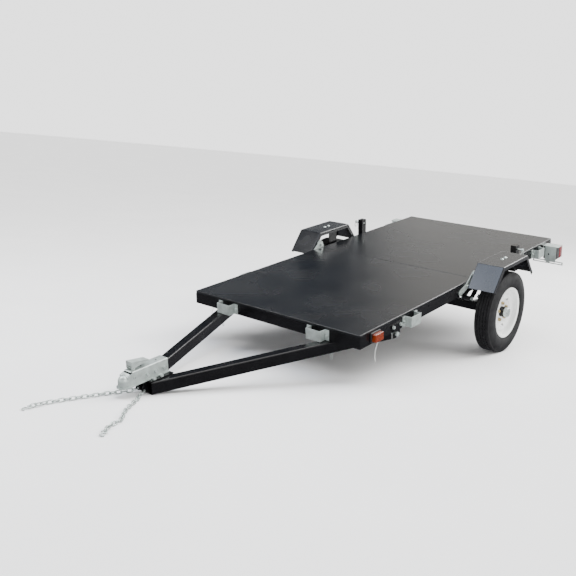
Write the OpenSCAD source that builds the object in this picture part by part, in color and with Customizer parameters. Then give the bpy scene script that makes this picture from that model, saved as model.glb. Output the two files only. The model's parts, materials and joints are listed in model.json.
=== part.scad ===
// Folding flatbed utility trailer with a 4 x 8 ft deck in two hinged halves.
// Sizes are in millimetres and angles in degrees.
// The trailer is laid out level in its deck frame: the deck's top is z = 0, the fold line is
// y = 0, forward is -Y and the trailer's left is +X. Every node is then tipped nose down, so
// that the tyres and the tongue's tip stand on z = 0, as the trailer does when it is unhitched.

/* [Deck] */
// Width of the deck
deck_w = 1219; // [1000:1:1500]
// Length of each deck half, from the fold line to its end
half_l = 1219; // [1000:1:1500]
// Thickness of the deck panels
panel_t = 16; // [12:1:20]
// Gap between the two halves at the fold line
seam = 4; // [2:0.5:8]

/* [Frame] */
// Height of the side and end rails
rail_h = 62; // [54:1:80]
// Width of the rails' flanges
rail_flange = 38; // [30:1:45]
// Thickness of the rails' steel
rail_t = 3; // [2.5:0.5:4]
// Height of the fold pivot above the deck
pivot_rise = 22; // [20:1:30]
// Thickness of the hinge plates
plate_t = 5; // [4:0.5:6]
// Diameter of the hinge pins
hinge_pin_d = 16; // [12:1:18]

/* [Tongue] */
// Distance from the front rail to the tongue's tip
tongue_reach = 911; // [750:1:1100]
// Distance from the front rail back to the tongue's pivot bolts
tongue_tail = 339; // [280:1:400]
// Width of the tongue tubes
tube_w = 50; // [40:1:60]
// Height of the tongue tubes
tube_h = 64; // [50:1:76]
// Wall of the tongue tubes
tube_t = 3; // [2.5:0.5:5]
// Angle between each tube and the trailer's centre line
tongue_angle = 22; // [18:0.5:24]
// Gap between the tubes at the tip
tip_gap = 10; // [6:1:20]
// Diameter of the tongue's pivot bolts
pivot_bolt_d = 16; // [12:1:18]
// Diameter of the tongue's lock pins
lock_pin_d = 14; // [12:1:16]

/* [Coupler] */
// Diameter of the tow ball that the coupler takes
ball_d = 47.6; // [47.6, 50.8]
// Width of the coupler's channel
coupler_w = 60; // [58:1:68]
// Height of the coupler above the nose plate
coupler_h = 70; // [66:1:80]
// Distance from the ball's centre to the coupler's rear end
coupler_l = 240; // [220:1:280]

/* [Wheels] */
// Outer diameter of the tyres
tyre_d = 533; // [500:1:560]
// Width of the tyres
tyre_w = 122; // [110:1:130]
// Diameter of the rims at the bead seats
rim_d = 305; // [295:1:315]
// Distance between the tyres' middle planes
track = 1400; // [1390:1:1460]
// Distance from the fold line back to the axle
axle_y = 225; // [200:1:280]
// Width and height of the axle beam
beam = 50; // [45:1:60]
// Diameter of the wheel spindles
spindle_d = 32; // [28:1:36]

/* [Springs] */
// Distance from the front eye to the rear slipper
spring_span = 490; // [430:1:540]
// Radius of the main leaf
spring_r = 560; // [480:1:700]
// Width of the leaves
leaf_w = 44; // [38:1:48]
// Thickness of a leaf
leaf_t = 6; // [5:0.5:8]
// Height of the front eye below the frame
eye_drop = 52; // [45:1:70]
// Height of the seat between the axle beam and the springs
seat_h = 26; // [15:1:50]

/* [Fenders] */
// Width of the fenders
fender_w = 182; // [160:1:200]
// Thickness of the fenders' steel
fender_t = 3; // [2:0.5:4]
// Height of the fenders' tops above the deck
fender_rise = 100; // [80:1:140]
// Length of the fenders' flat tops
fender_top = 340; // [280:1:400]
// Depth of the lips along the fenders' edges
fender_lip = 25; // [15:1:35]

/* [Fittings] */
// Width inside a stake pocket
pocket_w = 90; // [80:1:95]
// Depth inside a stake pocket
pocket_d = 42; // [38:1:50]
// Height of a stake pocket
pocket_h = 60; // [45:1:60]
// Thickness of the stake pockets' steel
pocket_t = 4; // [3:0.5:5]
// Diameter of the frame's bolts
bolt_d = 10; // [8:1:12]
// Width of a fold-lock post
post_w = 50; // [40:1:60]
// Depth of a fold-lock post
post_d = 40; // [35:1:50]
// Height of the fold-lock posts above the deck
post_rise = 100; // [90:1:120]
// Width of the tail lamps
lamp_w = 95; // [80:1:110]
// Height of the tail lamps
lamp_h = 90; // [80:1:105]

/* [Safety chains] */
// Length of one link, outside
link_l = 39; // [36:1:44]
// Diameter of the links' wire
link_d = 5.5; // [4.5:0.5:6]
// Width of one link, outside
link_w = 21; // [20:1:24]

/* [Hidden] */
$fn = 48;

// Clearances
run_gap = 0.05;   // between a shaft and the bore that it turns in
bolt_gap = 0.3;   // round a bolt in its hole
touch_gap = 0.3;  // between curved faces that lie on each other
swing_gap = 2;    // between pieces that pass each other as the deck folds

// Levels in the deck frame
side_x = deck_w / 2;
rail_top = -panel_t;
rail_bottom = -panel_t - rail_h;
rail_mid = (rail_top + rail_bottom) / 2;
tube_top = rail_bottom - 1;
tube_bottom = tube_top - tube_h;

// Tongue
tip_y = -half_l - tongue_reach;
tongue_pivot_y = -half_l + tongue_tail;
tongue_pivot_z = tube_top - pivot_bolt_d / 2 - 9;
tail_past = 10;
tube_skew_w = tube_w / cos(tongue_angle);
function tube_x(y) = tip_gap / 2 + tube_skew_w / 2 + (y - tip_y) * tan(tongue_angle);
lock_pin_y = -half_l + (rail_flange + rail_t) / 2;

// Springs and axle
spring_x = side_x - leaf_w / 2 - 2.5;
eye_r = 14;
eye_bolt_d = 14;
eye_z = rail_bottom - eye_drop;
leaf_gap = 0.15;
leaf_count = 3;
eye_radius = spring_r + leaf_t - eye_r;
curve_z = eye_z + sqrt(pow(eye_radius, 2) - pow(spring_span / 2, 2));
eye_swing = asin(spring_span / 2 / eye_radius);
leaf_low = curve_z - spring_r - leaf_count * (leaf_t + leaf_gap);
seat_z = leaf_low - touch_gap;
axle_z = seat_z - seat_h - beam / 2;

// Rest: the trailer stands on its tyres and on the tongue's tip
tyre_r = tyre_d / 2;
tip_to_axle = sqrt(pow(axle_y - tip_y, 2) + pow(axle_z - tube_bottom, 2));
rest_tilt = asin(tyre_r / tip_to_axle) - atan2(axle_z - tube_bottom, axle_y - tip_y);
function rest_y(y, z) = y * cos(rest_tilt) - z * sin(rest_tilt);
function rest_z(y, z) = y * sin(rest_tilt) + z * cos(rest_tilt);

// Hinge
front_hinge_bolts = [[-85, rail_top - 14], [-165, rail_mid - 8]];
rear_hinge_bolts = [[50, rail_mid + 2], [92, rail_mid - 2]];
hinge_pad_r = 18;
hinge_eye_r = 27;

// Stake pockets
pocket_tab = 26;
pocket_bolt_off = pocket_w / 2 + pocket_t + pocket_tab / 2;
front_pocket_y = -half_l + 474;
rear_pocket_y = half_l - 274;
end_pocket_x = side_x - 275;

// Posts and fold pins
post_y = 540;
post_pin_z = 74;
fold_pin_d = 12;
fold_pin_z = 2 * pivot_rise - post_pin_z;
post_t = 4;
post_foot_z = rail_bottom;
post_bolts = [for (dz = [-1, 1]) [post_y, rail_mid + dz * (bolt_d + 3)]];

// Tongue tabs and fender brackets
tab_w = 100;
tab_drop = 35;
tab_bolts = [for (dy = [-1, 1]) [tongue_pivot_y + dy * 35, rail_mid]];
bracket_w = 88;
bracket_y = 166;
bracket_bolts = [for (dy = [-1, 1]) [bracket_y + dy * 22, rail_mid]];
fender_in = side_x + 14.5;
fender_front = 15;
fender_bolt_x = side_x + 103;
fender_bolt_dy = 22;
fender_bolt_y = bracket_y + 34;
bracket_x = fender_in + fender_t + 1;

// Wheels
wheel_x = track / 2;
disc_x = 4;
disc_t = 4;
hub_r = 34;
hub_bore_r = 26;
hub_flange_r = 62;
lug_circle_r = 57;
lug_count = 5;
bearing_w = 18;
hub_in = -56;
hub_out = 36;

// Coupler
ball_r = ball_d / 2;
head_wall = 5;
head_r = ball_r + 0.4 + head_wall;
sheet_t = 3;
nose_t = 6;
nose_top = tube_top + nose_t;
coupler_top = nose_top + coupler_h;
head_drop = 12;
ball_z = coupler_top - head_drop - head_r;
coupler_back = tip_y + 130;
ball_y = coupler_back - coupler_l;
lip_t = 4;
lip_out = 8;
stub_h = coupler_h - 14;
stub_front = ball_y + 72;
clamp_pin_y = ball_y + ball_r + 14;
clamp_pin_z = ball_z + 12;
clamp_pin_d = 6;
latch_y = ball_y + 44;
latch_z = coupler_top + 10;
latch_pin_d = 8;
lug_in = 14;
lug_t = 4;
coupler_bolts = [for (f = [0.24, 0.54, 0.86]) [stub_front + f * (coupler_back - stub_front), nose_top + 28]];
nose_bolt_y = [tip_y + 26, tip_y + 71];
nose_bolt_x = coupler_w / 2 + lip_out + 11;
nose_half = nose_bolt_x + 11;

// The rest frame's origin is the middle of the trailer's box, on the ground
box_front = rest_y(ball_y, nose_top + lip_t) - head_r - lip_out;
box_back = rest_y(half_l, rail_bottom);
ground = rest_z(tip_y, tube_bottom);
origin_y = (box_front + box_back) / 2;
tip_rest_y = rest_y(tip_y, tube_bottom) - origin_y;

// ---------------------------------------------------------------- frames and helpers

// Tips a piece from the deck frame into the rest frame.
module at_rest() {
    translate([0, -origin_y, -ground]) rotate([rest_tilt, 0, 0]) children();
}

// Draws a left-hand piece and its mirror image.
module both_sides() {
    for (side = [0, 1]) mirror([side, 0, 0]) children();
}

module on_side(left) {
    mirror([left ? 0 : 1, 0, 0]) children();
}

// A cylinder along +X that starts at x, on the line through y and z.
module rod_x(d, x, l, y = 0, z = 0, sides = 48) {
    translate([x, y, z]) rotate([0, 90, 0]) cylinder(d = d, h = l, $fn = sides);
}

module rod_y(d, y, l, x = 0, z = 0, sides = 48) {
    translate([x, y, z]) rotate([-90, 0, 0]) cylinder(d = d, h = l, $fn = sides);
}

module rod_z(d, z, l, x = 0, y = 0, sides = 48) {
    translate([x, y, z]) cylinder(d = d, h = l, $fn = sides);
}

// Extrudes an outline given in (y, z) from x over a thickness of t.
module plate_x(x, t) {
    translate([x, 0, 0]) rotate([90, 0, 90]) linear_extrude(t) children();
}

// Bolt holes along X through whatever lies between x and x + l.
module drill_x(places, x, l, d = bolt_d + 2 * bolt_gap) {
    for (p = places) rod_x(d, x, l, p[0], p[1]);
}

// Hex bolt along X: its head sits on the face x_out, and its nut on the face x_in.
module bolt_x(x_in, x_out, p) {
    head_h = bolt_d * 0.64;
    across = bolt_d * 1.7;
    rod_x(bolt_d, x_in - bolt_d, x_out - x_in + bolt_d, p[0], p[1]);
    rod_x(across / cos(30), x_out + 2, head_h, p[0], p[1], 6);
    rod_x(bolt_d * 2, x_out, 2, p[0], p[1]);
    rod_x(across / cos(30), x_in - bolt_d * 0.8, bolt_d * 0.8, p[0], p[1], 6);
}

// The points of an open path moved sideways by d, with mitred corners.
function unit(v) = v / norm(v);
function left_of(v) = [-v[1], v[0]];
function seg(p, i) = unit(p[i + 1] - p[i]);
function mitre(p, i, d) =
    i == 0 ? p[0] + d * left_of(seg(p, 0))
    : i == len(p) - 1 ? p[i] + d * left_of(seg(p, i - 1))
    : let (a = left_of(seg(p, i - 1)), b = left_of(seg(p, i)))
        p[i] + d * (a + b) / (1 + a * b);
function beside(p, d) = [for (i = [0 : len(p) - 1]) mitre(p, i, d)];
function reversed(p) = [for (i = [len(p) - 1 : -1 : 0]) p[i]];
function strip(p, d) = concat(p, reversed(beside(p, d)));
function arc(c, r, a, b, n) = [for (i = [0 : n]) let (t = a + (b - a) * i / n) c + r * [cos(t), sin(t)]];

// A channel's section: its web's outer face is at 0, its flanges point along +x.
module channel_section(h, flange, t) {
    difference() {
        translate([0, -h / 2]) square([flange, h]);
        translate([t, -h / 2 + t]) square([flange, h - 2 * t]);
    }
}

// ---------------------------------------------------------------- rails and decks

// Left side rail of one half between y0 and y1, web outwards.
module side_rail(y0, y1) {
    translate([side_x, y1, rail_mid]) rotate([90, 0, 0]) linear_extrude(y1 - y0)
        mirror([1, 0]) channel_section(rail_h, rail_flange, rail_t);
}

// End rail across the trailer with its web's outer face at y, opening along +Y, ends closed.
module end_rail() {
    difference() {
        translate([-side_x, 0, rail_bottom]) cube([deck_w, rail_flange, rail_h]);
        translate([-side_x + rail_t, rail_t, rail_bottom + rail_t])
            cube([deck_w - 2 * rail_t, rail_flange, rail_h - 2 * rail_t]);
    }
}

module crossmember(y) {
    translate([-side_x + rail_t, y - rail_flange / 2, rail_mid]) rotate([90, 0, 90])
        linear_extrude(deck_w - 2 * rail_t)
            channel_section(rail_h - 2 * rail_t, rail_flange, rail_t);
}

module deck_panel(y0) {
    translate([-side_x, y0, -panel_t]) cube([deck_w, half_l - seam / 2, panel_t]);
}

module rear_side_rails() {
    color("#141416") both_sides() difference() {
        side_rail(seam / 2 + rail_flange, half_l - rail_flange);
        drill_x(concat(rear_hinge_bolts, post_bolts, bracket_bolts, pocket_bolts(rear_pocket_y)),
            side_x - rail_t - 1, rail_t + 2);
    }
}

module rear_end_rails() {
    color("#141416") {
        translate([0, seam / 2, 0]) end_rail();
        translate([0, half_l, 0]) mirror([0, 1, 0]) end_rail();
    }
}

module rear_crossmembers() {
    color("#141416") for (k = [1, 2]) crossmember(k * half_l / 3);
}

module rear_deck() {
    color("#2a2a2c") deck_panel(seam / 2);
}

module front_side_rails() {
    color("#141416") both_sides() difference() {
        side_rail(-half_l + rail_flange, -seam / 2 - rail_flange);
        drill_x(concat(front_hinge_bolts, tab_bolts, pocket_bolts(front_pocket_y)),
            side_x - rail_t - 1, rail_t + 2);
        drill_x([[-post_y, fold_pin_z]], side_x - rail_t - 1, rail_t + 2, fold_pin_d + 1.5);
    }
}

// The lock pins pass through the front rail's lower flange.
module front_end_rails() {
    color("#141416") {
        difference() {
            translate([0, -half_l, 0]) end_rail();
            both_sides() rod_z(lock_pin_d + 1.6, rail_bottom - 1, rail_t + 2, tube_x(lock_pin_y), lock_pin_y);
            for (p = end_pocket_bolts())
                rod_y(bolt_d + 2 * bolt_gap, -half_l - 1, rail_t + 2, p[0], p[1]);
        }
        translate([0, -seam / 2, 0]) mirror([0, 1, 0]) end_rail();
    }
}

module front_crossmembers() {
    color("#141416") for (k = [1, 0.5]) crossmember(k * tongue_pivot_y);
}

module front_deck() {
    color("#2a2a2c") deck_panel(-half_l);
}

// ---------------------------------------------------------------- hinge

// A hinge plate's outline in (y, z): an eye round the pivot, blended into two bolt pads.
module hinge_outline(bolts) {
    hull_band([0, pivot_rise], hinge_eye_r, bolts[0], hinge_pad_r);
    hull_band(bolts[0], hinge_pad_r, bolts[1], hinge_pad_r);
}

// The outline that runs round two discs, as one polygon.
module hull_band(a, ra, b, rb) {
    d = b - a;
    turn = atan2(d[1], d[0]);
    lean = acos((ra - rb) / norm(d));
    polygon(concat(arc(a, ra, turn + lean, turn + 360 - lean, 20), arc(b, rb, turn - lean, turn + lean, 14)));
}

module front_hinge_plates() {
    color("#b9bcc0") both_sides() difference() {
        plate_x(side_x, plate_t) hinge_outline(front_hinge_bolts);
        rod_x(hinge_pin_d + 2 * run_gap, side_x - 1, plate_t + 2, 0, pivot_rise);
        drill_x(front_hinge_bolts, side_x - 1, plate_t + 2);
    }
}

// The rear plates run outside the front ones, on a spacer that is clear of their swing.
module rear_hinge_plates() {
    out = side_x + plate_t + 1;
    color("#b9bcc0") both_sides() difference() {
        union() {
            plate_x(out, plate_t) hinge_outline(rear_hinge_bolts);
            plate_x(side_x, plate_t + 1)
                hull_band(rear_hinge_bolts[0], hinge_pad_r - 2, rear_hinge_bolts[1], hinge_pad_r - 2);
        }
        rod_x(hinge_pin_d, out - 1, plate_t + 2, 0, pivot_rise);
        drill_x(rear_hinge_bolts, side_x - 1, 2 * plate_t + 3);
    }
}

// Each pin has its head outside the rear plate and its nut inside the front plate.
module hinge_pins() {
    out = side_x + 2 * plate_t + 1;
    nut_h = 8;
    color("#c9ccd0") both_sides() {
        rod_x(hinge_pin_d, side_x - nut_h - 4, out - side_x + nut_h + 4, 0, pivot_rise);
        rod_x(26 / cos(30), out, 9, 0, pivot_rise, 6);
        rod_x(24, side_x - nut_h - 0.5, nut_h, 0, pivot_rise, 6);
    }
}

// ---------------------------------------------------------------- fenders

function fender_path() = [
    [fender_front - 115, -30], [fender_front, fender_rise],
    [fender_front + fender_top, fender_rise], [fender_front + fender_top + 100, -35]
];

module fender() {
    path = fender_path();
    difference() {
        union() {
            plate_x(fender_in, fender_w) polygon(strip(path, -fender_t));
            for (x = [fender_in, fender_in + fender_w - fender_t])
                plate_x(x, fender_t) polygon(strip(path, -fender_lip));
        }
        for (dy = [-1, 1])
            rod_z(bolt_d + 2 * bolt_gap, fender_rise - fender_t - 1, fender_t + 2,
                fender_bolt_x, fender_bolt_y + dy * fender_bolt_dy);
    }
}

module fender_left() {
    color("#1b1c20") fender();
}

module fender_right() {
    color("#1b1c20") mirror([1, 0, 0]) fender();
}

// A plate from the rail up to the fender's top. Two ribs hold it off its foot, and the foot's
// bolts stand between them.
module fender_brackets() {
    top = fender_rise - fender_t;
    foot_h = rail_h - 14;
    foot_z = rail_mid - foot_h / 2;
    front = bracket_y - bracket_w / 2;
    reach = fender_bolt_x + 22 - bracket_x;
    color("#1b1c20") both_sides() difference() {
        union() {
            translate([bracket_x, front, foot_z]) cube([plate_t, bracket_w, top - foot_z]);
            translate([bracket_x, front, top - plate_t]) cube([reach, bracket_w + 34, plate_t]);
            translate([side_x, front, foot_z]) cube([plate_t, bracket_w, foot_h]);
            for (y = [front, front + bracket_w - plate_t])
                translate([side_x, y, foot_z]) cube([bracket_x - side_x + 1, plate_t, foot_h]);
        }
        drill_x(bracket_bolts, side_x - 1, plate_t + 2);
        for (dy = [-1, 1])
            rod_z(bolt_d + 2 * bolt_gap, top - plate_t - 1, plate_t + 2,
                fender_bolt_x, fender_bolt_y + dy * fender_bolt_dy);
    }
}

// ---------------------------------------------------------------- springs

// An arc of one leaf round the springs' centre of curvature, from angle a to angle b.
module leaf(k, a, b) {
    r = spring_r + k * (leaf_t + leaf_gap);
    translate([spring_x - leaf_w / 2, axle_y, curve_z]) rotate([90, 0, 90])
        rotate_extrude(angle = b - a, start = a - 90, $fn = 180)
            translate([r, 0]) square([leaf_t, leaf_w]);
}

module leaf_spring() {
    tail = 4;
    // The main leaf with its rolled eye.
    difference() {
        union() {
            leaf(0, -eye_swing, eye_swing + tail);
            rod_x(2 * eye_r, spring_x - leaf_w / 2, leaf_w, axle_y - spring_span / 2, eye_z);
        }
        rod_x(eye_bolt_d + 2 * run_gap, spring_x - leaf_w / 2 - 1, leaf_w + 2,
            axle_y - spring_span / 2, eye_z);
    }
    // The shorter leaves below it.
    for (k = [1 : leaf_count - 1])
        leaf(k, -eye_swing * (1 - 0.28 * k), eye_swing * (1 - 0.28 * k));
}

module leaf_spring_left() {
    color("#17181a") leaf_spring();
}

module leaf_spring_right() {
    color("#17181a") mirror([1, 0, 0]) leaf_spring();
}

// Two ears under the rail carry the front eye, and two more carry the rear slipper pad.
module spring_hangers() {
    ear_x = leaf_w / 2 + 1;
    ear_t = 5;
    front_y = axle_y - spring_span / 2;
    rear_y = axle_y + spring_span / 2;
    foot_y = seam / 2 + 8;
    pad_d = 24;
    pad_z = curve_z - sqrt(pow(spring_r - pad_d / 2 - touch_gap, 2) - pow(spring_span / 2, 2));
    keeper_z = curve_z - sqrt(pow(spring_r + leaf_t + 6.5, 2) - pow(spring_span / 2, 2));
    color("#141416") both_sides() {
        difference() {
            union() {
                for (x = [spring_x - ear_x - ear_t, spring_x + ear_x]) plate_x(x, ear_t)
                    polygon([
                        [foot_y, rail_bottom], [foot_y + 75, rail_bottom], [foot_y + 75, rail_bottom - 12],
                        [front_y + 17, eye_z - 17], [front_y - 17, eye_z - 17], [front_y - 17, eye_z + 10]
                    ]);
                translate([spring_x - ear_x, foot_y, rail_bottom - 5]) cube([2 * ear_x, 75, 5]);
            }
            rod_x(eye_bolt_d + 2 * bolt_gap, spring_x - 50, 100, front_y, eye_z);
        }
        difference() {
            union() {
                for (x = [spring_x - ear_x - ear_t, spring_x + ear_x])
                    translate([x, rear_y - 26, keeper_z - 14])
                        cube([ear_t, 60, rail_bottom - keeper_z + 14]);
                translate([spring_x - ear_x, rear_y - 26, rail_bottom - 5]) cube([2 * ear_x, 60, 5]);
                rod_x(pad_d, spring_x - ear_x, 2 * ear_x, rear_y, pad_z);
            }
            rod_x(10 + 2 * bolt_gap, spring_x - 50, 100, rear_y, keeper_z);
        }
    }
}

// ---------------------------------------------------------------- fold-lock posts

// A box post outside the rear rail, with holes for its pull pin.
module lock_posts() {
    x = side_x + swing_gap;
    color("#141416") both_sides() difference() {
        union() {
            translate([x, post_y - post_w / 2, post_foot_z])
                cube([post_d, post_w, post_rise - post_foot_z]);
            translate([side_x, post_y - post_w / 2, post_foot_z]) cube([swing_gap, post_w, rail_h]);
        }
        translate([x + post_t, post_y - post_w / 2 + post_t, post_foot_z - 1])
            cube([post_d - 2 * post_t, post_w - 2 * post_t, post_rise - post_foot_z - post_t + 1]);
        drill_x([[post_y, post_pin_z]], x - 1, post_d + 2, fold_pin_d + 2 * run_gap);
        drill_x(post_bolts, side_x - 1, swing_gap + post_t + 2);
        drill_x(post_bolts, x + post_d - post_t - 1, post_t + 2, bolt_d * 2.3);
    }
}

// A pull pin with a collar and a ring.
module fold_pin() {
    out = side_x + swing_gap + post_d;
    color("#c9ccd0") {
        rod_x(fold_pin_d, side_x + swing_gap + 1, post_d - 1 + 36, post_y, post_pin_z);
        rod_x(fold_pin_d + 8, out + 32, 8, post_y, post_pin_z);
        translate([out + 36, post_y, post_pin_z - 22]) rotate([0, 90, 0])
            rotate_extrude() translate([15, 0]) circle(d = 4, $fn = 20);
    }
}

module fold_pin_left() {
    fold_pin();
}

module fold_pin_right() {
    mirror([1, 0, 0]) fold_pin();
}

// ---------------------------------------------------------------- stake pockets and lamps

function pocket_bolts(y) = [for (d = [-1, 1]) [y + d * pocket_bolt_off, rail_mid]];
function end_pocket_bolts() = [for (s = [-1, 1], d = [-1, 1])
    [s * end_pocket_x + d * pocket_bolt_off, rail_mid]];

// A hat-shaped strap in (along, out), open at its top and bottom.
module pocket(bolts = true) {
    w = pocket_w / 2;
    h = pocket_h;
    difference() {
        translate([0, 0, rail_mid - h / 2]) linear_extrude(h) difference() {
            union() {
                translate([-w - pocket_t, 0]) square([2 * (w + pocket_t), pocket_d + pocket_t]);
                translate([-w - pocket_t - pocket_tab, 0]) square([2 * (w + pocket_t + pocket_tab), pocket_t]);
            }
            translate([-w, -1]) square([2 * w, pocket_d + 1]);
        }
        for (d = [-1, 1])
            rod_y(bolt_d + 2 * bolt_gap, -1, pocket_t + 2, d * pocket_bolt_off, rail_mid);
    }
}

module side_pocket(y) {
    translate([side_x, y, 0]) rotate([0, 0, -90]) pocket();
}

module rear_stake_pockets() {
    color("#b9bcc0") both_sides() side_pocket(rear_pocket_y);
}

module front_stake_pockets() {
    color("#b9bcc0") {
        both_sides() side_pocket(front_pocket_y);
        for (s = [-1, 1]) translate([s * end_pocket_x, -half_l, 0]) mirror([0, 1, 0]) pocket();
    }
}

marker_y = -half_l + 134;
marker_l = 90;
marker_h = 58;
marker_base_t = 8;

module marker_lamp_bases() {
    color("#1c1c1e") both_sides()
        translate([side_x, marker_y - marker_l / 2, rail_mid - marker_h / 2 + 4])
            cube([marker_base_t, marker_l, marker_h]);
}

module marker_lamp_lenses() {
    color("#e07a20") both_sides() difference() {
        translate([side_x + marker_base_t, marker_y - marker_l / 2 + 8, rail_mid - marker_h / 2 + 10])
            cube([24, marker_l - 16, marker_h - 12]);
        translate([side_x + marker_base_t - 1, marker_y - marker_l / 2 + 11, rail_mid - marker_h / 2 + 13])
            cube([22, marker_l - 22, marker_h - 18]);
    }
}

// The lamp's pigtail, from the base's lower edge down.
wire_d = 3;
marker_wire_route = [
    [0, 0, 0], [0, 0, -8], [-2, -2, -24], [-5, -6, -44], [-6, -12, -64],
    [-4, -18, -82], [0, -22, -98], [5, -24, -114]
];

// A tube of n sides that follows a list of points, closed at both ends.
module swept_tube(route, d, n = 8) {
    m = len(route);
    function along(i) = unit(route[min(i + 1, m - 1)] - route[max(i - 1, 0)]);
    function across(t) = unit(cross(t, abs(t[0]) < 0.9 ? [1, 0, 0] : [0, 1, 0]));
    ring = [for (i = [0 : m - 1]) let (t = along(i), a = across(t), b = cross(t, a))
        for (k = [0 : n - 1]) route[i] + d / 2 * (cos(360 * k / n) * a + sin(360 * k / n) * b)];
    sides = [for (i = [0 : m - 2], k = [0 : n - 1]) let (j = (k + 1) % n)
        [i * n + k, (i + 1) * n + k, (i + 1) * n + j, i * n + j]];
    polyhedron(ring, concat(sides, [[for (k = [0 : n - 1]) k], [for (k = [n - 1 : -1 : 0]) (m - 1) * n + k]]));
}

module marker_wire() {
    color("#d8d8d8")
        translate([side_x + marker_base_t / 2, marker_y + 20, rail_mid - marker_h / 2 + 4])
            swept_tube(marker_wire_route, wire_d);
}

module marker_wire_left() {
    marker_wire();
}

module marker_wire_right() {
    mirror([1, 0, 0]) marker_wire();
}

lamp_front = half_l - 136;
lamp_x = side_x + 4;
lamp_top = -32;
housing_l = 62;
lens_l = 55;

// A bent plate on the rail: a top shelf and a front face that the lamp bolts to.
module tail_lamp_brackets() {
    color("#b9bcc0") both_sides() {
        translate([side_x, lamp_front - 3, lamp_top + 5]) cube([lamp_w + 16, 80, 3]);
        difference() {
            translate([lamp_x + 12, lamp_front - 3, lamp_top - lamp_h - 16])
                cube([lamp_w - 12, 3, lamp_h + 21]);
            rod_y(14, lamp_front - 4, 5, lamp_x + 40, lamp_top - 52);
        }
        translate([side_x, lamp_front - 3, lamp_top - 40]) cube([3, 80, 45]);
    }
}

module tail_lamp_housings() {
    color("#1c1c1e") both_sides() difference() {
        translate([lamp_x, lamp_front, lamp_top - lamp_h]) cube([lamp_w, housing_l, lamp_h]);
        translate([lamp_x + 4, lamp_front + 4, lamp_top - lamp_h + 4])
            cube([lamp_w - 8, housing_l, lamp_h - 8]);
    }
}

module tail_lamp_lenses() {
    color("#b01818") both_sides() difference() {
        translate([lamp_x, lamp_front + housing_l, lamp_top - lamp_h]) cube([lamp_w, lens_l, lamp_h]);
        translate([lamp_x + 4, lamp_front + housing_l - 1, lamp_top - lamp_h + 4])
            cube([lamp_w - 8, lens_l - 3, lamp_h - 8]);
    }
}

bar_l = 226;
bar_h = 22;

// The slotted bar that carries the licence plate, on the left lamp's bracket.
module licence_bar() {
    x = lamp_x - 76;
    z = lamp_top - lamp_h - 16;
    color("#9da0a4") difference() {
        translate([x, lamp_front, z - bar_h + 8]) cube([bar_l, 3, bar_h]);
        for (k = [0, 1]) slot_y(x + 12 + k * (bar_l / 2 + 6), bar_l / 2 - 30, z - bar_h / 2 + 8);
    }
}

module slot_y(x, l, z) {
    for (dx = [0, l]) rod_y(9, lamp_front - 1, 5, x + dx, z);
    translate([x, lamp_front - 1, z - 4.5]) cube([l, 5, 9]);
}

// ---------------------------------------------------------------- bolts

module rear_bolts() {
    in = side_x - rail_t;
    color("#c9ccd0") both_sides() {
        for (p = rear_hinge_bolts) bolt_x(in, side_x + 2 * plate_t + 1, p);
        for (p = post_bolts) bolt_x(in, side_x + swing_gap + post_t, p);
        for (p = bracket_bolts) bolt_x(in, side_x + plate_t, p);
        for (p = pocket_bolts(rear_pocket_y)) bolt_x(in, side_x + pocket_t, p);
        for (dy = [-1, 1]) fender_bolt(fender_bolt_y + dy * fender_bolt_dy);
        spring_bolt(eye_bolt_d, axle_y - spring_span / 2, eye_z);
        spring_bolt(10, axle_y + spring_span / 2,
            curve_z - sqrt(pow(spring_r + leaf_t + 6.5, 2) - pow(spring_span / 2, 2)));
    }
}

// A domed bolt through the fender's top.
module fender_bolt(y) {
    low = fender_rise - fender_t - plate_t;
    rod_z(bolt_d, low - 10, fender_rise - low + 10, fender_bolt_x, y);
    rod_z(17 / cos(30), low - 8, 8, fender_bolt_x, y, 6);
    translate([fender_bolt_x, y, fender_rise]) intersection() {
        translate([0, 0, -8]) sphere(r = 14);
        cylinder(r = 14, h = 7);
    }
}

module spring_bolt(d, y, z) {
    reach = leaf_w / 2 + 6;
    rod_x(d, spring_x - reach - 10, 2 * reach + 10, y, z);
    rod_x(d * 1.9, spring_x + reach, d * 0.6, y, z, 6);
    rod_x(d * 1.9, spring_x - reach - d * 0.7, d * 0.7, y, z, 6);
}

module front_bolts() {
    in = side_x - rail_t;
    color("#c9ccd0") {
        both_sides() {
            for (p = front_hinge_bolts) bolt_x(in, side_x + plate_t, p);
            for (p = tab_bolts) bolt_x(in, side_x + plate_t, p);
            for (p = pocket_bolts(front_pocket_y)) bolt_x(in, side_x + pocket_t, p);
            tongue_pivot_bolt();
        }
        for (p = end_pocket_bolts()) translate([p[0], -half_l, 0]) rotate([0, 0, -90])
            bolt_x(-rail_t, pocket_t, [0, p[1]]);
    }
}

// ---------------------------------------------------------------- axle and wheels

module axle_beam() {
    half = wheel_x - 80;
    color("#141416") {
        difference() {
            translate([-half, axle_y - beam / 2, axle_z - beam / 2]) cube([2 * half, beam, beam]);
            translate([-half - 1, axle_y - beam / 2 + 4, axle_z - beam / 2 + 4])
                cube([2 * half + 2, beam - 8, beam - 8]);
        }
        both_sides() {
            rod_x(beam - 2, half, 8, axle_y, axle_z);
            rod_x(spindle_d, half + 8, wheel_x + hub_out - half - 12, axle_y, axle_z);
            rod_x(spindle_d + 12, wheel_x + hub_out - 14, 9, axle_y, axle_z, 6);
            translate([spring_x - leaf_w / 2, axle_y - 30, axle_z + beam / 2]) cube([leaf_w, 60, seat_h]);
        }
    }
}

u_bolt_d = 10;
u_leg_y = beam / 2 + u_bolt_d / 2 + touch_gap;
u_leg_x = leaf_w / 2 + u_bolt_d / 2 + 1;
tie_t = 8;
tie_z = curve_z - sqrt(pow(spring_r, 2) - pow(u_leg_y + 12, 2)) + touch_gap;

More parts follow.
